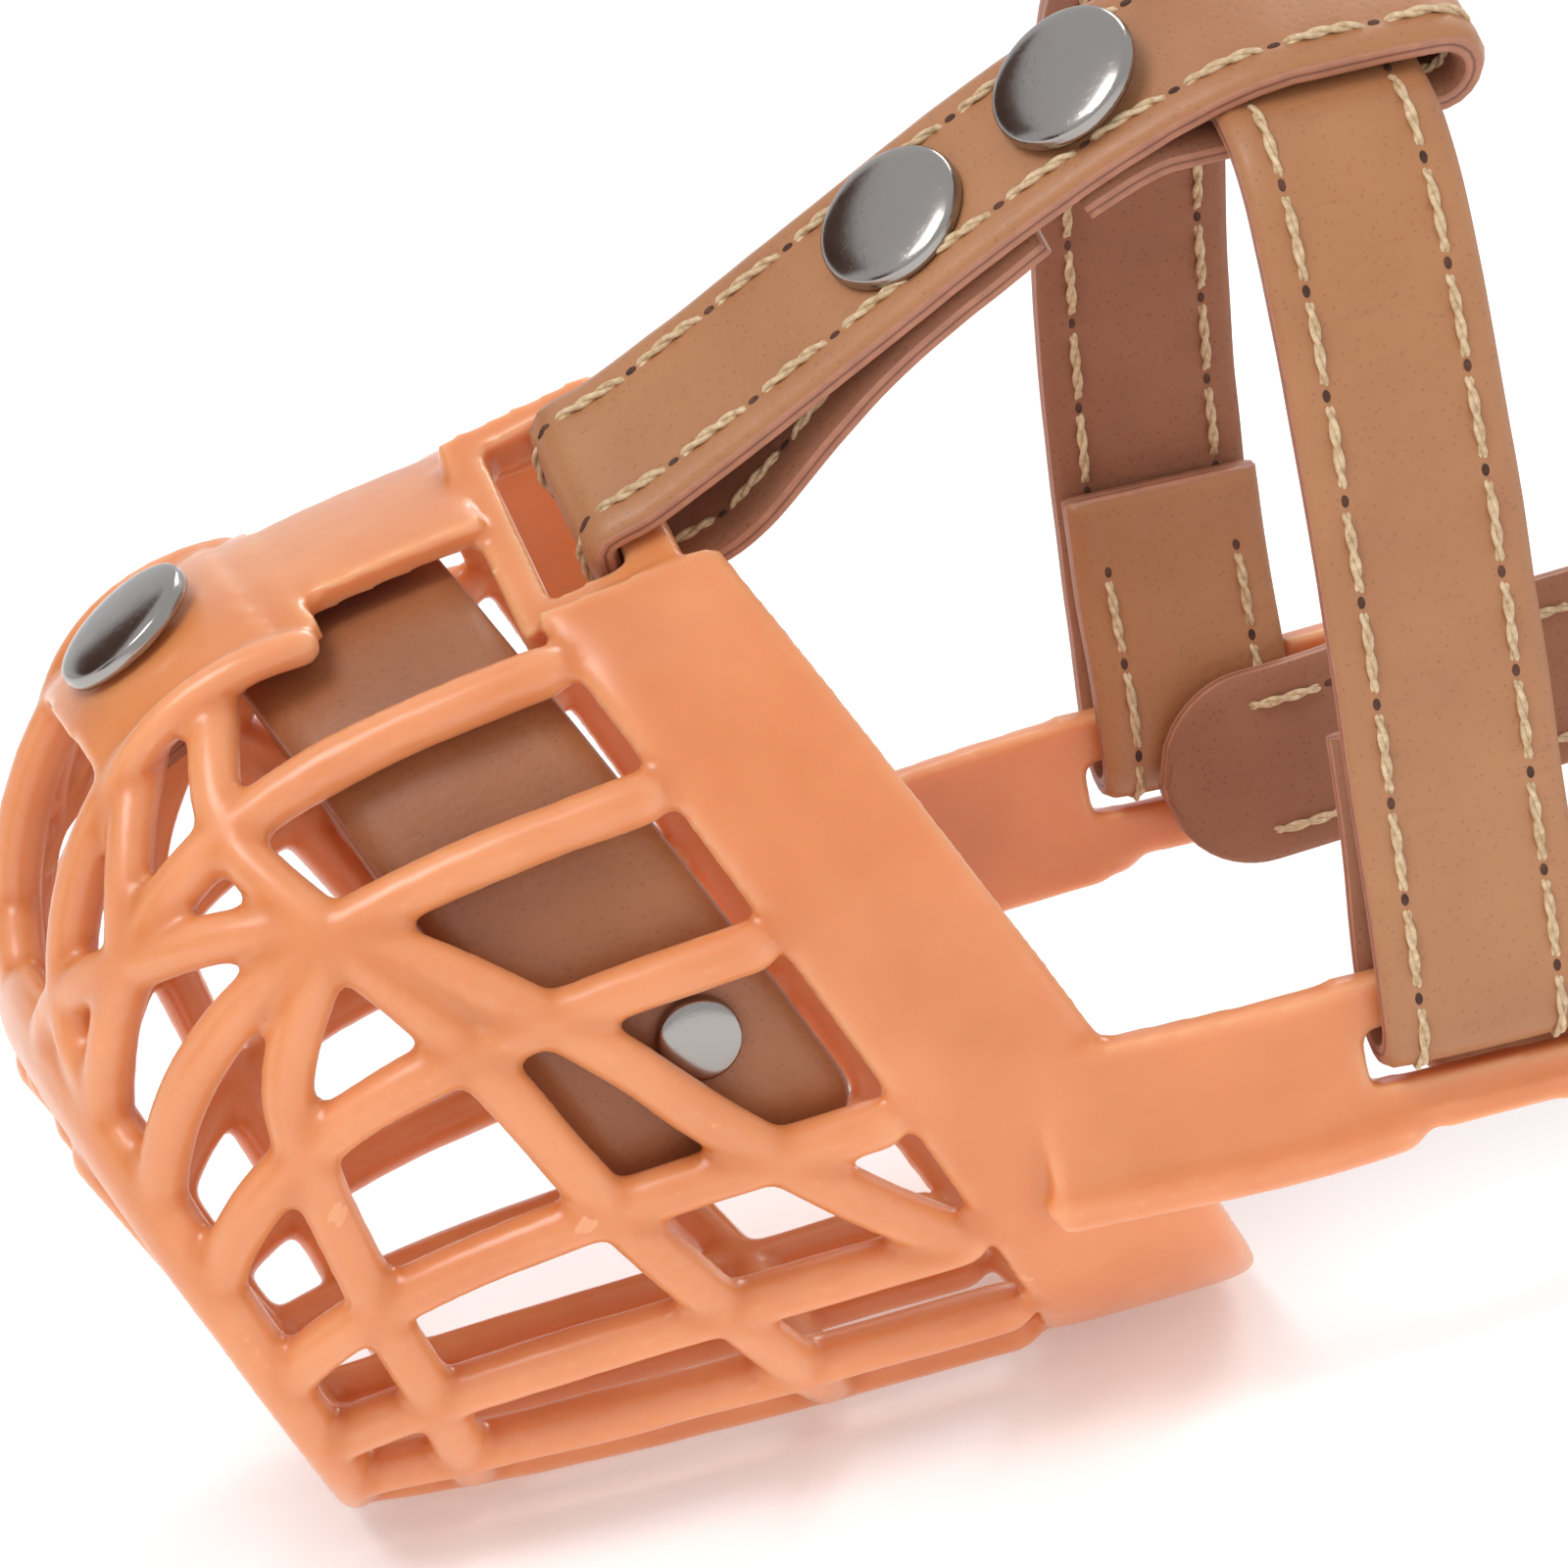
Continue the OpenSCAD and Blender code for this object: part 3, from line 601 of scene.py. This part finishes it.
class Strap:
    """A flat strap whose middle line is drawn in a plane; place() puts (p, q, width) into the object."""

    def __init__(self, path, place, tips=(False, False), flip=1):
        self.pts, self.length = even(soften(path))
        self.place, self.tips, self.flip = place, tips, flip
        n = len(self.pts)
        self.nor = []
        for i in range(n):
            d = self.pts[min(i + 1, n - 1)] - self.pts[max(i - 1, 0)]
            d /= np.linalg.norm(d)
            self.nor.append(np.array([-d[1], d[0]]) * flip)

    def at(self, u, v, h):
        """Point at u along the strap, v across it and h out of its middle."""
        x = min(max(u / self.length * (len(self.pts) - 1), 0), len(self.pts) - 1.001)
        i = int(x)
        t = x - i
        p = self.pts[i] * (1 - t) + self.pts[i + 1] * t
        n = self.nor[i] * (1 - t) + self.nor[i + 1] * t
        q = p + n * h
        return self.place(q[0], q[1], v)

    def half(self, u):
        """Half the strap's width at u, less near a rounded tip."""
        w = STRAP_W / 2
        for end, d in ((0, u), (1, self.length - u)):
            if self.tips[end] and d < w:
                w = min(w, max(math.sqrt(max(1 - (1 - d / (STRAP_W / 2)) ** 2, 0)) * STRAP_W / 2, 0.6))
        return w

    def mesh(self, name, mats):
        b = Build()
        face = [-1, -0.9, -0.72, -0.667, -0.61, -0.4, 0, 0.4, 0.61, 0.667, 0.72, 0.9, 1]
        top = [0.55, 0.93, 1.0, 0.93, 1.0, 1.02, 1.04, 1.02, 1.0, 0.93, 1.0, 0.93, 0.55]
        prof = list(zip(face, top)) + [(1.012, 0.3), (1.0, 0.0), (1.012, -0.3)]
        prof += [(x, -h) for x, h in zip(face[::-1], top)] + [(-1.012, -0.3), (-1.0, 0.0), (-1.012, 0.3)]
        mat = [0] * 12 + [1] * 4 + [2] * 12 + [1] * 4
        rings, uvs = [], []
        m = len(self.pts)
        for i in range(m):
            u = self.length * i / (m - 1)
            w = self.half(u)
            row = []
            for x, h in prof:
                sway = 0.12 * noise.noise(Vector((u * 0.12, x * 3, 1.7)))
                swell = 0.06 * noise.noise(Vector((u * 0.3, x * 2, 9)))
                row.append(self.at(u, x * w + sway * x, h * STRAP_T / 2 + swell))
                uvs.append((u / STRAP_W, 0.5 + h / 2))
            rings.append(row)
        b.rings(rings, False, mat, True, uvs)
        return b.object(name, mats)


def stitch_run(b, strap, v, h, start, stop, pitch=8.6, long=7.0):
    """A saddle-stitch row: twisted two-ply stitches with a needle hole between each pair; each hole's dip is
    coloured near black, painted shade for its inside.
    """
    count = int((stop - start) / pitch)
    for k in range(count):
        u0 = start + k * pitch + random.uniform(-0.15, 0.15)
        dv = random.uniform(-0.12, 0.12)
        out = 1 if h > 0 else -1
        for ply in (0, 1):
            pts, rad = [], []
            for j in range(15):
                t = j / 14
                lift = 0.56 * math.sin(math.pi * t) ** 0.45 - 0.35
                twist = t * 9.5 + ply * math.pi
                pts.append(strap.at(u0 + t * long, v + dv * t + 0.22 * math.cos(twist),
                                    h + out * (lift + 0.2 * math.sin(twist))))
                rad.append(0.27 if 0.06 < t < 0.94 else 0.2)
            b.tube(pts, rad, 6, 0)
        # the needle hole: a small dip coloured near black with material 1, which is painted shade standing
        # for the dark inside the hole
        um = u0 + long + (pitch - long) / 2
        rows = []
        for r, q in ((0.05, 0.03), (0.3, 0.04), (0.42, 0.0), (0.36, -0.3)):
            rows.append([strap.at(um + 1.25 * r * math.cos(t), v + r * 0.8 * math.sin(t),
                                  h - out * 0.02 + out * q) for t in around(10)])
        b.rings(rows, False, 1)


def stitched(name, strap, runs, body):
    """A strap's rows of stitches, each from its place across, its height, its start and its stop."""
    b = Build()
    for v, h, s, e in runs:
        stitch_run(b, strap, v, h, s, e)
    o = b.object(name, [M_THREAD, M_HOLE_SHADE])
    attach(o, body)


def slot_xz(u, w):
    p = by_slot(u, w)
    return np.array([p[0], p[2]])


# where the two straps cross: level, and in the rolled frame
cross_x = CROWN_X + (CROWN_Z - SLOT_Z) * math.sin(CROWN_LEAN)
cross_z = SLOT_Z + (CROWN_Z - SLOT_Z) * math.cos(CROWN_LEAN)
cross_y = -(cross_z - ROLL_Z) * math.tan(ROLL)
cross_up = ROLL_Z + (cross_z - ROLL_Z) / math.cos(ROLL)


def by_crown(u, w):
    """Point beside the crossing, seen from the side of the rolled frame: u along the crown, w out of it."""
    c, s = math.cos(CROWN_LEAN), math.sin(CROWN_LEAN)
    return np.array([cross_x + u * c + w * s, cross_up - u * s + w * c])


fore_start = slot_xz(0.5, FRAME_TOP + GAP + STRAP_T / 2)
fore_rise = by_crown(-12.5, LAYER)
fore_run = float(np.linalg.norm(fore_rise - fore_start))
fore_dir = (fore_rise - fore_start) / fore_run
fore_down = np.array([fore_dir[1], -fore_dir[0]])
bar_front = SLOT_BACK - GAP - STRAP_T / 2
under = FRAME_TOP - FRAME_T - GAP - STRAP_T / 2


def on_rise(d, depth):
    """Point d up the strap's straight rise from the slot, and depth under its middle line."""
    return fore_start + d * fore_dir + depth * fore_down


# the under layer down to the slot, round its bar, up the rise, round the crown strap and back under it
fore_path = [on_rise(fore_run - 16.5, LAYER), on_rise(fore_run - 32, LAYER), on_rise(13, LAYER + 2),
             slot_xz(7, under + 1.2), slot_xz(1, under), slot_xz(SLOT_BACK - 0.4, under),
             slot_xz(bar_front, under + 1.2), slot_xz(bar_front, FRAME_TOP + 0.6),
             slot_xz(SLOT_BACK - 0.6, FRAME_TOP + GAP + STRAP_T / 2), fore_start, fore_rise]
for a in range(90, -91, -30):
    fore_path.append(by_crown(STRAP_W / 2 + 1.2 + LAYER * math.cos(math.radians(a)),
                              LAYER * math.sin(math.radians(a))))
fore_path += [by_crown(-10.5, -LAYER), on_rise(fore_run - 5, LAYER + 0.9), on_rise(fore_run - 12, LAYER)]

fore = Strap(fore_path, lambda x, z, v: rolled((x, v, z)), flip=1)
STRAPS = [M_TAN, M_EDGE, M_BACK]
o = fore.mesh("forehead_strap_leather", STRAPS)
finish_piece(o, "cage", ["forehead_strap"])

slope = np.array([math.cos(ROLL), math.sin(ROLL)])
crown_out, crown_in = TAB_Y + TAB_T + GAP + STRAP_T / 2, TAB_Y - GAP - STRAP_T / 2
flat_mid, flat_half = np.array([cross_y, CROWN_Z]), STRAP_W / 2 + 2


def crown_foot(side):
    """The strap's end: down the inside of the tab, out through its slot and up again."""
    foot = ((crown_out - LAYER - 1.7, 12), (crown_out - LAYER - 1.2, 4), (crown_in, -6), (crown_in, SLOT_Z),
            (crown_out, SLOT_Z), (crown_out, -6))
    return [np.array([side * y, z]) for y, z in foot]


near_arch = [(-crown_out, -6), (-crown_out, 36), flat_mid - (flat_half + 7) * slope,
             flat_mid - flat_half * slope]
far_arch = [flat_mid + flat_half * slope, flat_mid + (flat_half + 22) * slope, (crown_out + 1, 58),
            (crown_out, -6)]
crown_path = crown_foot(-1) + [np.array(bezier(near_arch, k / 8)) for k in range(2, 9)] + [
    np.array(bezier(far_arch, k / 8)) for k in range(8)] + crown_foot(1)[::-1]
crown = Strap(crown_path, lambda y, z, v: leaned((CROWN_X + v, y, z)), flip=1)
o = crown.mesh("crown_strap_leather", STRAPS)
finish_piece(o, "cage", ["crown_strap"])

neck_y = TAB_Y - GAP - STRAP_T / 2
neck_r, heel_y, toe_y, buckle_rivet_y, tail_x = 26.0, 4.0, -17.0, 15.5, 72.0
bar_x = NECK_X + STRAP_T / 2 + GAP + WIRE
fold_out = bar_x + WIRE + GAP + STRAP_T / 2
tail_out = fold_out + STRAP_T + GAP + 0.2
frame_half_h = STRAP_W / 2 + 2.2


def corner(out, a0, a1):
    """A back corner of the neck loop, out from the strap's middle line."""
    r = neck_r + out
    return [(NECK_X - neck_r + r * math.cos(math.radians(a)), neck_y - neck_r + r * math.sin(math.radians(a)))
            for a in np.linspace(a0, a1, 7)]


def neck_side(last):
    """One side of the loop, from its tip at the crown strap's foot to the back corner."""
    tip_y = neck_y - STRAP_T - 0.5
    return [(30, tip_y), (47.5, tip_y), (52, neck_y), (90, neck_y)] + corner(0, 80, last)


buckle_path = neck_side(10) + [(NECK_X, 9), (NECK_X, 2.4), (bar_x - 1.4, 0.7), (bar_x + 1.4, 0.7),
                               (fold_out, 2.4), (fold_out, 6), (NECK_X + STRAP_T + GAP, 11.5),
                               (NECK_X + STRAP_T + GAP, 19.5)]
tail_y = neck_y + STRAP_T + 0.5
punched_path = [(x, -y) for x, y in neck_side(20)] + [
    (NECK_X - 1.5, toe_y + 1), (tail_out, heel_y - 2.5), (tail_out, heel_y + 3), (tail_out, 14),
    (tail_out - 0.4, 19.5)] + corner(STRAP_T + 0.5, 30, 80) + [(90, tail_y), (tail_x, tail_y)]


def in_plan(x, y, v):
    return Vector((x, y, RIVET_Z + v))


b_strap = Strap(buckle_path, in_plan, (True, False), flip=1)
p_strap = Strap(punched_path, in_plan, (True, True), flip=-1)
o = b_strap.mesh("buckle_strap_leather", STRAPS)
finish_piece(o, "neck_loop", ["buckle_strap"])
o = p_strap.mesh("punched_strap_leather", STRAPS)
finish_piece(o, "neck_loop", ["punched_strap"])

FACES = (STRAP_T / 2 + 0.02, -STRAP_T / 2 - 0.02)
EDGES = (-6.1, 6.1)
stitched("forehead_stitches", fore, [(v, h, 3, fore.length - 3) for h in FACES for v in EDGES], "cage")
stitched("crown_stitches", crown, [(v, h, 3, crown.length - 3) for h in FACES for v in EDGES], "cage")
stitched("buckle_strap_stitches", b_strap,
         [(v, h, 9, b_strap.length - 4) for v in EDGES for h in FACES], "neck_loop")
stitched("punched_strap_stitches", p_strap,
         [(v, h, 9, p_strap.length - 9) for v in EDGES for h in FACES], "neck_loop")

# ---------- leather inside the cage ----------
BAND_S, BAND_H = 0.355, STRAP_W / 66 / 2
BAND_OUT, BAND_T = -2.9, 2
BAND_FACE = [(-1, 0.25), (-0.96, 0.95), (-0.7, 1), (-0.62, 0.93), (-0.5, 1), (0, 1), (0.5, 1), (0.62, 0.93),
             (0.7, 1), (0.96, 0.95), (1, 0.25), (1, -0.25), (0.96, -0.95), (0, -1), (-0.96, -0.95),
             (-1, -0.25)]


def band(name, mats, s0, s1, half_turn, tip):
    """Leather along the inside of the cage, half_turn degrees to each side, with rounded tips."""
    b, rows, uvs = Build(), [], []
    a0, a1, out, inn = -half_turn, half_turn, BAND_OUT, BAND_OUT - BAND_T
    n = int((a1 - a0) / 1.5)
    for i in range(n + 1):
        a = a0 + (a1 - a0) * i / n
        d = min(a - a0, a1 - a) / tip
        mid, half = (s0 + s1) / 2, (s1 - s0) / 2 * math.sqrt(max(1 - (1 - min(d, 1)) ** 2, 0.003))
        row = []
        for x, h in BAND_FACE:
            swell = 0.08 * noise.noise(Vector((a * 0.1, x * 2, 4)))
            row.append(off_cage(mid + half * x, a, (out + inn) / 2 + h * (out - inn) / 2 + swell))
            uvs.append((a / 20, 0.5 + h / 2))
        rows.append(row)
    b.rings(rows, False, [0] * 10 + [1] + [0] * 4 + [1], True, uvs)
    return b.object(name, mats)


o = band("nose_band_leather", [M_LINER, M_EDGE], BAND_S - BAND_H, BAND_S + BAND_H, 104, 9)
finish_piece(o, "cage", ["nose_band"])
o = band("nose_pad_leather", [M_PAD, M_EDGE], BAND_S + BAND_H + 0.01, NOSE_S + 0.1, 14, 3)
finish_piece(o, "cage", ["nose_pad"])


# ---------- rivets ----------
def cap(b, origin, normal, radius=CAP_R, grip=0.0, both=False):
    """A domed cap rivet, with its shank and a small foot, or a second cap, grip below its base."""
    q = Vector(normal).normalized().to_track_quat("Z", "Y").to_matrix()
    dome, rim, shank = 1.3 * radius / CAP_R, radius * 0.985, 1.5
    face = [(0.01, 0.9 + dome)]
    for a in range(8, 81, 8):
        t = math.radians(a)
        face.append((radius * math.sin(t), 0.9 + dome * math.cos(t) ** 0.8))
    face += [(rim, 0.95), (radius, 0.75), (radius, 0.3), (rim, 0.0), (shank, 0.0), (shank, -grip)]
    if both:
        face += [(r, -grip - z) for r, z in face[-3::-1]]
    else:
        face += [(radius * 0.6, -grip), (radius * 0.6, -grip - 0.8), (0.01, -grip - 0.9)]
    b.lathe(face, lambda v: Vector(origin) + q @ v, 72)


b = Build()
fore_up = rolled((-fore_dir[1], 0, fore_dir[0] + ROLL_Z)) - rolled((0, 0, ROLL_Z))
for k, d in enumerate((fore_run - 25.5, fore_run - 7)):
    p = on_rise(d, -STRAP_T / 2 - 0.05)
    cap(b, rolled((p[0], 0, p[1])), fore_up, grip=LAYER + STRAP_T + 0.1 + 0.9 * k)
o = b.object("forehead_caps", [M_NICKEL])
finish_piece(o, "cage", ["forehead_rivets"])
b = Build()
nose_tilt, plate_t = math.radians(31), 2.6
nose_up = Vector((-math.sin(nose_tilt), 0, math.cos(nose_tilt)))
cap(b, cage(NOSE_S, 0) + nose_up * plate_t, nose_up, grip=plate_t)
o = b.object("nose_cap", [M_NICKEL])
finish_piece(o, "cage", ["nose_rivet"])
b = Build()
for side in (-1, 1):
    n = outward(BAND_S - 0.04, side * 88)
    cap(b, off_cage(BAND_S - 0.04, side * 88, BAND_OUT), n, 3.6, grip=0.1)
o = b.object("band_caps", [M_NICKEL])
finish_piece(o, "cage", ["band_rivets"])
b = Build()
for side in (-1, 1):
    cap(b, (RIVET_X, side * (TAB_Y + TAB_T + 0.1), RIVET_Z), (0, side, 0),
        grip=TAB_T + STRAP_T + GAP + 0.2, both=True)
o = b.object("tab_caps", [M_NICKEL])
finish_piece(o, "neck_loop", ["tab_rivets"])
b = Build()
cap(b, (NECK_X + STRAP_T * 1.5 + GAP + 0.1, buckle_rivet_y, RIVET_Z), (1, 0, 0), 4.0,
    grip=STRAP_T * 2 + GAP + 0.5)
o = b.object("buckle_cap", [M_NICKEL])
finish_piece(o, "neck_loop", ["buckle_rivet"])

# ---------- buckle ----------
b = Build()
loop = []
corners = [(heel_y, frame_half_h), (heel_y, -frame_half_h), (toe_y, -frame_half_h), (toe_y, frame_half_h)]
for i, (y, z) in enumerate(corners):
    py, pz = corners[i - 1]
    ny, nz = corners[(i + 1) % 4]
    a = Vector((0, py - y, pz - z)).normalized() * 1.6
    c = Vector((0, ny - y, nz - z)).normalized() * 1.6
    for t in (0, 0.25, 0.5, 0.75, 1):
        p = Vector((bar_x, y, RIVET_Z + z))
        loop.append((1 - t) ** 2 * (p + a) + 2 * t * (1 - t) * p + t * t * (p + c))
    q0, q1 = Vector((bar_x, y, RIVET_Z + z)) + c, Vector((bar_x, ny, RIVET_Z + nz)) - c
    loop += [q0.lerp(q1, k / 8) for k in range(1, 8)]
b.tube(loop, WIRE, 16, 0, True)
o = b.object("buckle_frame_steel", [M_STEEL])
finish_piece(o, "neck_loop", ["buckle_frame"])
b = Build()
eye = [Vector((bar_x + 2.1 * math.cos(t), heel_y + 2.1 * math.sin(t), RIVET_Z)) for t in around(16)]
b.tube(eye, 0.55, 10, 0, True, 2.4, (1, 0, 0))
steps = [i / 15 for i in range(16)]
b.tube([Vector((bar_x + 1.9 + 1.5 * t - 0.4 * math.sin(math.pi * t), heel_y - 1 - t * (heel_y - toe_y + 1.2),
                RIVET_Z)) for t in steps], [1.0 - 0.25 * t ** 3 for t in steps], 12)
o = b.object("prong_steel", [M_STEEL])
finish_piece(o, "prong", ["buckle_prong"])
b = Build()
hh = STRAP_W / 2
b.lathe([(1.58, -hh), (2.2, -hh), (2.3, -hh + 0.15), (2.3, hh - 0.15), (2.2, hh), (1.58, hh), (1.56, 0)],
        lambda v: Vector((bar_x + v.x, toe_y + v.y, RIVET_Z + v.z)), 40)
o = b.object("roller_steel", [M_STEEL])
finish_piece(o, "roller", ["buckle_roller"])


# ---------- keepers ----------
KEEPER_FACE = [(-3.5, 0.5), (-3.3, 0.95), (-2.6, 1), (-2.4, 0.93), (-2.2, 1), (2.2, 1), (2.4, 0.93), (2.6, 1),
               (3.3, 0.95), (3.5, 0.5), (3.5, -0.5), (3.3, -0.95), (-3.3, -0.95), (-3.5, -0.5)]


def keeper(x):
    """A leather loop round both layers of the neck strap, sewn shut on its outer side."""
    b = Build()
    kg, kt = 0.35, 1.6
    inner = STRAP_T * 2 + 0.5 + 2 * kg
    y0 = neck_y - STRAP_T / 2 - kg - kt / 2
    y1 = y0 + inner + kt
    z0, z1 = RIVET_Z - STRAP_W / 2 - kg - kt / 2, RIVET_Z + STRAP_W / 2 + kg + kt / 2
    pts, r = [], 1.0
    corners = ((y1 - r, z1 - r), (y0 + r, z1 - r), (y0 + r, z0 + r), (y1 - r, z0 + r))
    for i, (cy, cz) in enumerate(corners):
        for k in range(6):
            t = math.radians(90 * i + 18 * k)
            pts.append((cy + r * math.cos(t), cz + r * math.sin(t), math.cos(t), math.sin(t)))
    rows, uvs = [], []
    for cy, cz, ny, nz in pts:
        row = []
        for dx, h in KEEPER_FACE:
            row.append(Vector((x + dx, cy + ny * h * kt / 2, cz + nz * h * kt / 2)))
            uvs.append((dx, 0.5 + h / 2))
        rows.append(row)
    b.rings(rows, True, [0] * 9 + [1] + [2] * 3 + [1], True, uvs)
    for side in (-1, 1):
        seam = [Vector((x + side * 2.2, y1 + kt / 2 + 0.05, z0 + 4 + k)) for k in np.linspace(0, 4.5, 8)]
        b.tube(seam, 0.35, 8, 3)
    return b


for name, x, body, node in (("fixed_keeper_leather", 98, "neck_loop", "fixed_keeper"),
                            ("sliding_keeper_leather", 86, "keeper", "sliding_keeper")):
    o = keeper(x).object(name, [M_TAN, M_EDGE, M_BACK, M_THREAD])
    finish_piece(o, body, [node])

# ---------- punched holes: near-black discs on the strap's face, painted shade in place of holes ---
b = Build()
for k in range(3):
    x = tail_x + 8 + 9 * k
    # a near-black disc with a small lip, laid on the uncut strap: painted shade standing for the hole
    b.lathe([(0.01, 1.44), (1.45, 1.44), (1.6, 1.47), (1.75, 1.43), (1.7, 1.2)],
            lambda v: Vector((x + v.x, tail_y + v.z, RIVET_Z + v.y)), 32)
o = b.object("punched_hole_painted_shade", [M_HOLE_SHADE])
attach(o, "neck_loop")

# ---------- stage, light and camera ----------
SQUARE = ((-1, -1), (1, -1), (1, 1), (-1, 1))
floor = Build()
floor.add([Vector((x * 4000, y * 4000, 0)) for x, y in SQUARE], [[0, 1, 2, 3]])


def paper(nt, bsdf, node, link):
    coord = node("ShaderNodeTexCoord")
    n = node("ShaderNodeTexNoise", Scale=3.0)
    link(coord.outputs["Object"], n.inputs["Vector"])
    tone = ramp(node, [(0.3, (0.90, 0.90, 0.90)), (0.7, (0.93, 0.93, 0.93))])
    link(n.outputs["Fac"], tone.inputs["Fac"])
    link(tone.outputs["Color"], bsdf.inputs["Base Color"])
    bsdf.inputs["Roughness"].default_value = 0.9
    bsdf.inputs["Emission Color"].default_value = (1, 1, 1, 1)
    bsdf.inputs["Emission Strength"].default_value = 0.25


o = floor.object("floor", [material("paper_look", paper)])
o.location.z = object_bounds()[0][2] - 0.0005

# the camera's bearing, height and turn in degrees, its distance in mm, its focal length in 1600ths of the
# picture's width, and its shift in mm
AZ, EL, TURN, DIST, FOCAL, TX, TZ = -11.0, 19.0, -12.0, 850.0, 10050.0, -11.8, 4.2
az, el, turn = (math.radians(v) for v in (AZ, EL, TURN))
d = Vector((math.sin(az) * math.cos(el), -math.cos(az) * math.cos(el), math.sin(el)))
r0 = Vector((math.cos(az), math.sin(az), 0))
u0 = d.cross(r0)
r = math.cos(turn) * r0 + math.sin(turn) * u0
u = -math.sin(turn) * r0 + math.cos(turn) * u0
cam = bpy.data.objects.new("camera", bpy.data.cameras.new("camera"))
bpy.context.scene.collection.objects.link(cam)
m = Matrix((r, u, d)).transposed().to_4x4()
m.translation = (r * TX + u * TZ + d * DIST) / 1000
cam.matrix_world = m
cam.data.sensor_width = 36
cam.data.lens = FOCAL * 36 / 1600
cam.data.clip_start, cam.data.clip_end = 0.05, 20
bpy.context.scene.camera = cam


def area(name, at, look, size, power):
    """A soft rectangular light at one point, aimed at another."""
    li = bpy.data.lights.new(name, "AREA")
    li.shape, li.size, li.size_y, li.energy = "RECTANGLE", size[0], size[1], power
    o = bpy.data.objects.new(name, li)
    bpy.context.scene.collection.objects.link(o)
    o.location = at
    o.rotation_euler = (Vector(look) - Vector(at)).to_track_quat("-Z", "Y").to_euler()


area("key", (-0.45, -0.35, 1.0), (0, 0, 0), (0.5, 0.5), 5)
area("back", (0.6, 0.7, 0.7), (0, 0, 0), (0.6, 0.4), 4)


def card(name, at, look, size):
    """A dark card beside the set, which the bright metal mirrors."""
    c, q = Build(), (Vector(look) - Vector(at)).to_track_quat("Z", "Y").to_matrix()
    c.add([Vector(at) * 1000 + q @ Vector((x * size[0] * 500, y * size[1] * 500, 0)) for x, y in SQUARE],
          [[0, 1, 2, 3]])
    o = c.object(name, [material(name + "_look", dark_hole)])


card("card_back", (-0.42, 0.40, 0.34), (0, 0, 0.05), (0.55, 0.34))
card("card_left", (-0.75, -0.25, 0.12), (0, 0, 0.03), (0.3, 0.5))
world = bpy.data.worlds.new("world")
bpy.context.scene.world = world
world.use_nodes = True
world.node_tree.nodes["Background"].inputs["Color"].default_value = (0.95, 0.96, 1.0, 1)
world.node_tree.nodes["Background"].inputs["Strength"].default_value = 0.8
bpy.context.scene.view_settings.view_transform = "Standard"
